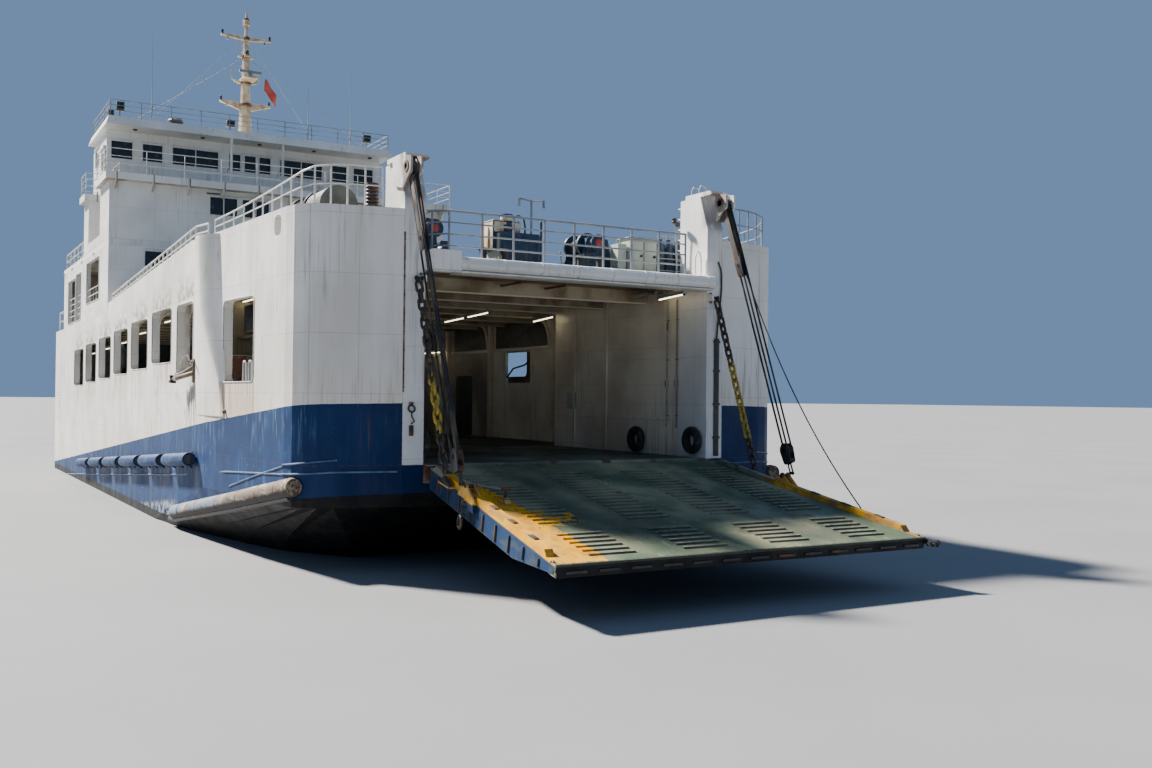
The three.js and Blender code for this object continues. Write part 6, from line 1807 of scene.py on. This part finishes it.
def roof_gear():
    """Aerials, searchlights and domes on the wheelhouse roof."""
    gear = Piece("roof_gear", GREY_TUBE, BLACK, WHITE_TUBE, GLASS, GALVANISED, HOOD_GREY)
    z = ROOF_Z
    for y, top in [(-4.3, 18.4), (2.25, 17.2), (4.2, 18.4)]:
        gear.lathe((-7.75, y, z), Z, [(0, 0.06), (0.02, 0.06), (0.03, 0.03), (0.7, 0.028), (0.72, 0.014),
            (top - z, 0.007)], 0, 10)
    for y, high, half in [(-5.53, 0.62, 0.16), (-1.12, 0.44, 0.18), (4.94, 0.58, 0.18)]:
        gear.tube([(-7.75, y, z), (-7.75, y, z + high * 0.5)], 0.03)
        gear.prism([(-7.86, z + high * 0.42), (-7.62, z + high * 0.36), (-7.58, z + high), (-7.8, z + high)],
            "y", y - half, y + half, 1, 0.02)
        gear.box(-7.605, -7.585, y - half + 0.03, y + half - 0.03, z + high * 0.45, z + high - 0.05, 3, 0.005)
    gear.box(-7.95, -7.6, -6, -5.76, z + LIFT, z + 0.26, 1, 0.03)
    gear.lathe((-7.75, -3.36, z), Z, [(0, 0.2), (0.04, 0.2), (0.05, 0.32), (0.13, 0.32), (0.2, 0.25),
        (0.25, 0.12), (0.26, 0.02)], 5, 28)
    gear.lathe((-11.6, -2.8, z), Z, [(0, 0.2), (0.2, 0.18), (0.22, 0.3), (0.4, 0.36), (0.65, 0.33),
        (0.8, 0.2), (0.86, 0.04)], 2, 32)
    for x, y in [(-10.6, 2.6), (-10.6, -4.2), (-10.7, 0.9)]:
        vent(gear, x, y, z, 0.55, 0.12, 2)
    gear.box(-11.9, -10.9, 3.4, 4.6, z + LIFT, z + 0.55, 2, 0.03)
    for n in range(6):
        gear.box(-10.905, -10.885, 3.5, 4.5, z + 0.1 + n * 0.07, z + 0.14 + n * 0.07, 1, 0.004)
    for y in (-0.35, 0.35):
        gear.rod((-11.5, y, z), Z, 0.05, 0.3, 4, 12)
    gear.box(-11.62, -11.38, -0.42, 0.42, z + 0.3, z + 0.36, 2, 0.015)
    gear.lathe((-11.3, 0, z + 0.5), (1, 0, 0.05), [(-0.35, 0.03), (-0.05, 0.05), (0.15, 0.14), (0.16, 0.13)],
        2, 24)
    gear.tube([(-11.45, 0, z + 0.34), (-11.45, 0, z + 0.5)], 0.025, 2)
    gear.done("rail_grey")


# Tube lamps under the beams. Columns: x and y of the two ends, then z
LAMPS = [(17.7, 3.5, 19.3, 3.11, 6.12), (8.2, 1.84, 10.4, 1.5, 5.98), (10.7, 1.46, 12.8, 1.13, 5.98),
    (10.2, 3.95, 12.5, 3.38, 5.98), (12.1, -5.5, 13.3, -5.5, 5.98), (12.4, -2.6, 13.6, -2.6, 5.98),
    (2, -5.5, 3.3, -5.5, 5.98), (-2.6, -5.5, -1.2, -5.5, 5.8), (-6.6, -5.5, -5.2, -5.5, 5.6),
    (-10.8, -5.5, -9.4, -5.5, 5.5), (-14.9, -5.5, -13.6, -5.5, 5.42), (-1.1, 4.6, 1.9, 4.6, 5.3)]
LAMPS += [(x, y, x + 1.2, y, 5.98) for x in (5, 1.4, -2.1, -5.7, -9.3, -13) for y in (-1.9, 2.2)]

# Web frames inside the ship's side, at the aft edge of each opening. Columns: x, depth from the outer face
WEBS = [(9.49, 0.33), (5.91, 0.21), (2.36, 0.21), (-1.19, 0.21), (-4.74, 0.21), (-8.29, 0.21), (-11.84, 0.21),
    (-15.4, 0.21), (-18, 0.21)]


def port_screen(work):
    """Inner wall along the port side abaft the casing, with one window. Its doorway and arched recesses are
    flat dark brown sheets of painted shade, and its far and upper parts take a darker copy of the cream
    paint, also painted shade.
    """
    low, high = DECK_Z + LIFT, CEILING - LIFT
    y0, y1 = 5, 5.08
    # Paint 10 is the darker copy of the cream wall paint: painted shade
    for x0, x1, z0, z1, paint in [(-6, 5.3, low, high, 10), (8.2, 12.02, low, high, 0),
            (6.3, 8.2, low, 4.11, 0), (6.3, 8.2, 5.14, high, 10), (5.3, 6.3, low, high, 0)]:
        work.box(x0, x1, y0, y1, z0, z1, paint)
    for x0, x1, top in [(2, 4.9, 6.16), (5.5, 9.4, 6.16), (-2.6, 0.6, 6.16)]:
        width = x1 - x0
        arch = [(x0, 5.3), (x1, 5.3)]
        arch += [(x1 - width * 0.18 * (1 - cos(a)), 5.3 + (top - 5.3) * sin(a))
            for a in [pi / 2 * n / 6 for n in range(1, 7)]]
        arch += [(x0, top)]
        # Flat dark brown sheet inside each arch: painted shade of a recess
        work.prism(arch, "y", y0 - 0.012, y0 - 0.002, 11, 0.004)
        work.tube([(x, y0 - 0.03, z) for x, z in arch[1:-1]], 0.05)
        work.box(x0 - 0.1, x1 + 0.1, y0 - 0.1, y0, 5.2, 5.3, 0, 0.01)
    # Flat dark brown sheet for the doorway: painted shade
    work.prism(rounded(2.2, 3.65, low, 4.4, 0.15), "y", y0 - 0.012, y0 - 0.002, 11, 0.004)
    for x in (-2.9, 1, 1.55, 5.2, 9.75):
        work.box(x - 0.09, x + 0.09, y0 - 0.14, y0, low, high, 0, 0.01)
    for x in (6.3, 8.2):
        work.box(x - 0.05, x + 0.05, y0 - 0.06, y0, 4.05, 5.2, 0, 0.01)
    work.tube([(6.33, y0 + 0.02, 4.3), (6.8, y0 + 0.02, 4.6), (7.6, y0 + 0.02, 4.7), (8.15, y0 + 0.02, 4.9)],
        0.03, 5)
    work.box(-6.05, -6, y0, 6.5, low, high, 10)


def car_deck():
    """Lamps, pipes, frames, tyres and lashing points on the car deck."""
    work = Piece("car_deck_gear", CREAM_WALL, TUBE_LIGHT, GALVANISED, RUBBER, RUSTY, BLACK, YELLOW, MACHINE,
        RED, CABINET, SHADED_CREAM_WALL, SHADE, WHITE_TUBE)
    port_screen(work)
    tube_lamps(work)
    web_frames(work)
    lane_gear(work)
    lane_fittings(work)
    work.done("cream_paint")


def tube_lamps(work):
    """Tube lamps under the beams, on hangers where they hang low."""
    for x0, y0, x1, y1, z in LAMPS:
        start, end = Vector((x0, y0, z)), Vector((x1, y1, z))
        along = (end - start).normalized()
        up = Vector((0, 0, 0.045))
        work.tube([start - along * 0.04 + up, end + along * 0.04 + up], 0.05, 2, 4)
        work.tube([start, end], 0.018, 1, 12)
        for at in (start, end):
            work.tube([at - along * 0.02, at + along * 0.02], 0.032, 5)
            if z < BEAM_LOW - 0.1:
                work.tube([at + up, Vector((at.x, at.y, BEAM_LOW))], 0.01, 5, 6)


def web_frames(work):
    """Web frames with knees inside the ship's side."""
    for x, depth in WEBS:
        for side in (-1, 1):
            inner = SIDE_HALF - depth
            y0, y1 = span(side, inner, 6.54)
            work.box(x - 0.012, x + 0.012, y0, y1, DECK_Z + LIFT, CEILING - LIFT, 12, 0.003)
            edge0, edge1 = span(side, inner - 0.02, inner + 0.015)
            work.box(x - 0.05, x + 0.012, edge0, edge1, DECK_Z + LIFT, BEAM_LOW, 12, 0.006)
            bend = [(side * y, z) for y, z in arc(inner - 0.4, BEAM_LOW - 0.4, 0.4, turn=pi / 2)]
            knee = bend + [(side * (inner - 0.4), CEILING - 0.01), (side * inner, CEILING - 0.01)]
            work.prism(knee, "x", x - 0.012, x + 0.012, 0, 0.003)
            work.tube([(x, y, z) for y, z in bend], 0.03, 0, 6)


def lane_gear(work):
    """Pipes, rails, tyres and lashing points on both sides of the lanes."""
    for side in (-1, 1):
        for y, z, radius in [(3.2, CEILING - 0.14, 0.05), (3.45, CEILING - 0.12, 0.035),
                (0.6, CEILING - 0.1, 0.03)]:
            work.tube([(x, side * y, z) for x in (18, 6, -6, -18.6)], radius, 2 if y > 1 else 4, 10)
        work.tube([(x, side * 5.5, CEILING - 0.1) for x in (11.6, 0, -18.6)], 0.07, 4, 12)
        for x in (17.81, 18.22):
            y = side * 3.68
            work.tube([(x, y, 6.1), (x, y, 4.4), (x, y, 2.9)], 0.022, 2)
            work.box(x - 0.05, x + 0.05, y - 0.04, y + 0.03, 3.9, 4.1, 2, 0.01)
            for z in (3.2, 4.6, 5.6):
                work.box(x - 0.05, x + 0.05, y - 0.01, y + 0.035, z - 0.015, z + 0.015, 4, 0.004)
        for x in (14.9, 13.2):
            work.box(x - 0.05, x + 0.05, *span(side, 3.66, 3.718), DECK_Z + LIFT, CEILING - LIFT, 0, 0.01)
        for z in (3.1, 4, 4.95):
            work.box(12.05, 18.3, *span(side, 3.69, 3.718), z - 0.025, z + 0.025, 0, 0.006)
        for x, z in [(19.09, 2.62), (16.56, 2.56)]:
            work.ring((x, side * (3.52 if x > 18.3 else 3.58), z), Y, 0.24, 0.1, 3, 28, 12)
        for x, y in [(16.2, 2.9), (12.9, 2.9), (9, 5.2), (5.2, 5.2), (1.6, 5.2), (-2.4, 5.2), (-6.2, 5.2),
                (-10, 5.2), (-14, 5.2)]:
            work.lathe((x, side * y, DECK_Z + 0.002), Z, [(0, 0.09), (0.012, 0.085), (0.014, 0.05)], 4, 20)


def lane_fittings(work):
    """Cabinets, end walls, and the tank and seats in the starboard bay."""
    for x, side in [(12.9, 1), (13.1, -1)]:
        work.box(x, x + 0.35, *span(side, 3.62, 3.71), 3.3, 3.8, 9, 0.015)
    for side in (-1, 1):
        y0, y1 = span(side, 3.95, 5.9)
        work.box(12.05, 12.1, y0, y1, DECK_Z + LIFT, CEILING - LIFT, 0)
        work.prism(rounded(*span(side, 4.4, 5.2), DECK_Z + 0.2, DECK_Z + 2.1, 0.1), "x", 12.03, 12.05, 9,
            0.006)
    work.box(12.6, 13.6, -5.6, -5.2, 5.15, 5.85, 7, 0.03)
    work.box(11.6, 14.6, -5.62, -5.2, 5.02, 5.08, 0, 0.01)
    work.box(14.2, 14.26, -6.5, -5.6, DECK_Z + LIFT, 4.55, 4, 0.01)
    for n in range(3):
        x = 14.95 + n * 0.5
        work.prism([(x, 3.4), (x + 0.34, 3.4), (x + 0.3, 4.35), (x + 0.04, 4.35)], "y", -6.2, -6.12, 7, 0.02)
        work.tube([(x + 0.01, -6.21, 3.5), (x + 0.04, -6.21, 4.3), (x + 0.08, -6.21, 4.38),
            (x + 0.26, -6.21, 4.38), (x + 0.3, -6.21, 4.3), (x + 0.33, -6.21, 3.5)], 0.018, 12)
        work.box(x, x + 0.34, -6.15, -5.75, 3.36, 3.42, 7, 0.015)
    work.box(14.9, 16.35, -6.05, -5.8, DECK_Z + LIFT, 3.36, 9, 0.01)


def stern_gear():
    """Bitts, tyre fenders, ladders, sheaves and lamps on the stern frame."""
    work = Piece("stern_gear", BLACK, WHITE_TUBE, RUSTY, GALVANISED, RUBBER, GREASED)
    for side in (-1, 1):
        bitts(work, -18.4, side * 5.9, UPPER_Z, 0)
        for z in (3.4, 4.6):
            work.lathe((-19.53, side * 4.6, z), X, [(0, 0.02), (0, 0.15), (0.05, 0.15)], 2, 20)
        for n in range(3):
            work.ring((-19.6, side * (4.35 + n * 0.75), 2), X, 0.27, 0.11, 4, 28, 12)
        work.tube([(-19.52, side * 5.2, z) for z in (2.35, 6.4)], 0.035, 3)
        for n in range(12):
            z = 2.6 + n * 0.32
            work.tube([(-19.5, side * 5.35, z), (-19.62, side * 5.35, z), (-19.62, side * 5.75, z),
                (-19.5, side * 5.75, z)], 0.015, 1, 6)
        work.lathe((-19.5, side * 3.3, 6.02), (-1, 0, 0), [(0, 0.07), (0.08, 0.09), (0.1, 0.085)], 0, 18)
    for y in (-2.2, 2.2):
        work.box(-19.6, -19.5, y - 0.07, y + 0.07, 6.25, 6.5, 2, 0.01)
        sheave(work, -19.6, 6.36, y, 0.12, 0.035, 5)
    work.box(-19.58, -19.5, -0.5, 0.5, 6.33, 6.45, 1, 0.01)
    for y in (-0.3, 0, 0.3):
        work.lathe((-19.57, y, 6.39), (-1, 0, 0), [(0, 0.05), (0.07, 0.05), (0.08, 0.03)], 0, 16)
    work.tube([(-19.3, 0, UPPER_Z), (-19.42, 0, UPPER_Z + 2.2)], 0.03, 1)
    work.done("rusty_steel")


def stern_ramp_trim():
    """Weld lines, lugs and rings on the stern ramp."""
    flap = Piece("stern_ramp_trim", RUSTY, WHITE_TUBE, GREASED, YELLOW)
    outer = -19.8
    for n in range(5):
        z = 2.82 + n
        flap.box(outer - 0.002, outer, -3.5, 3.5, z, z + 0.01, 1)
    for side in (-1, 1):
        for z in (4.6, 6.6):
            flap.box(-19.62, -19.5, side * 3.45 - 0.05, side * 3.45 + 0.05, z, z + 0.25, 0, 0.01)
        flap.ring((-19.86, side * 3.1, 6.9), X, 0.07, 0.02, 2)
    flap.done("rusty_steel", "stern_ramp")


def anodes():
    """Zinc blocks along the bilge."""
    work = Piece("under_water_gear", GALVANISED, GREASED)
    for side in (-1, 1):
        for n in range(5):
            x = -12.5 + n * 4
            work.box(x - 0.25, x + 0.25, *span(side, 6.46, 6.53), -0.9, -0.78, 0, 0.02)
    work.done("rusty_steel")


def rudder_ribs():
    for name, side in SIDES.items():
        blade = Piece(f"rudder_ribs_{name}", GREASED, GALVANISED)
        for z in (-0.55, -0.15, 0.25):
            blade.prism([(-18.03, 2.52), (-17.12, 2.525), (-17.1, 2.6), (-17.12, 2.675), (-18.03, 2.68)], "z",
                -1.15 + z - 0.03, -1.15 + z + 0.03, 0, 0.01)
        blade.done("rusty_steel", f"rudder_{name}", side=side)


add_camera()
flag()
add_light()
dress_nodes()
rails()
moving_gear()
for name in SIDES:
    tube_fenders(name)
    diagonal_fender(name)
rub_strakes()
coamings()
knuckles()
side_fittings()
side_roller()
pylon_fittings()
bow_edge_strip()
bow_edge()
foredeck()
bow_wing_gear()
windows()
wheel_doors()
house_details()
funnel_details()
mast_gear()
roof_gear()
car_deck()
stern_gear()
stern_ramp_trim()
anodes()
rudder_ribs()

bpy.ops.mesh.primitive_plane_add(size=900)
floor = bpy.context.object
floor.name = "floor"
floor.data.materials.append(floor_surface())
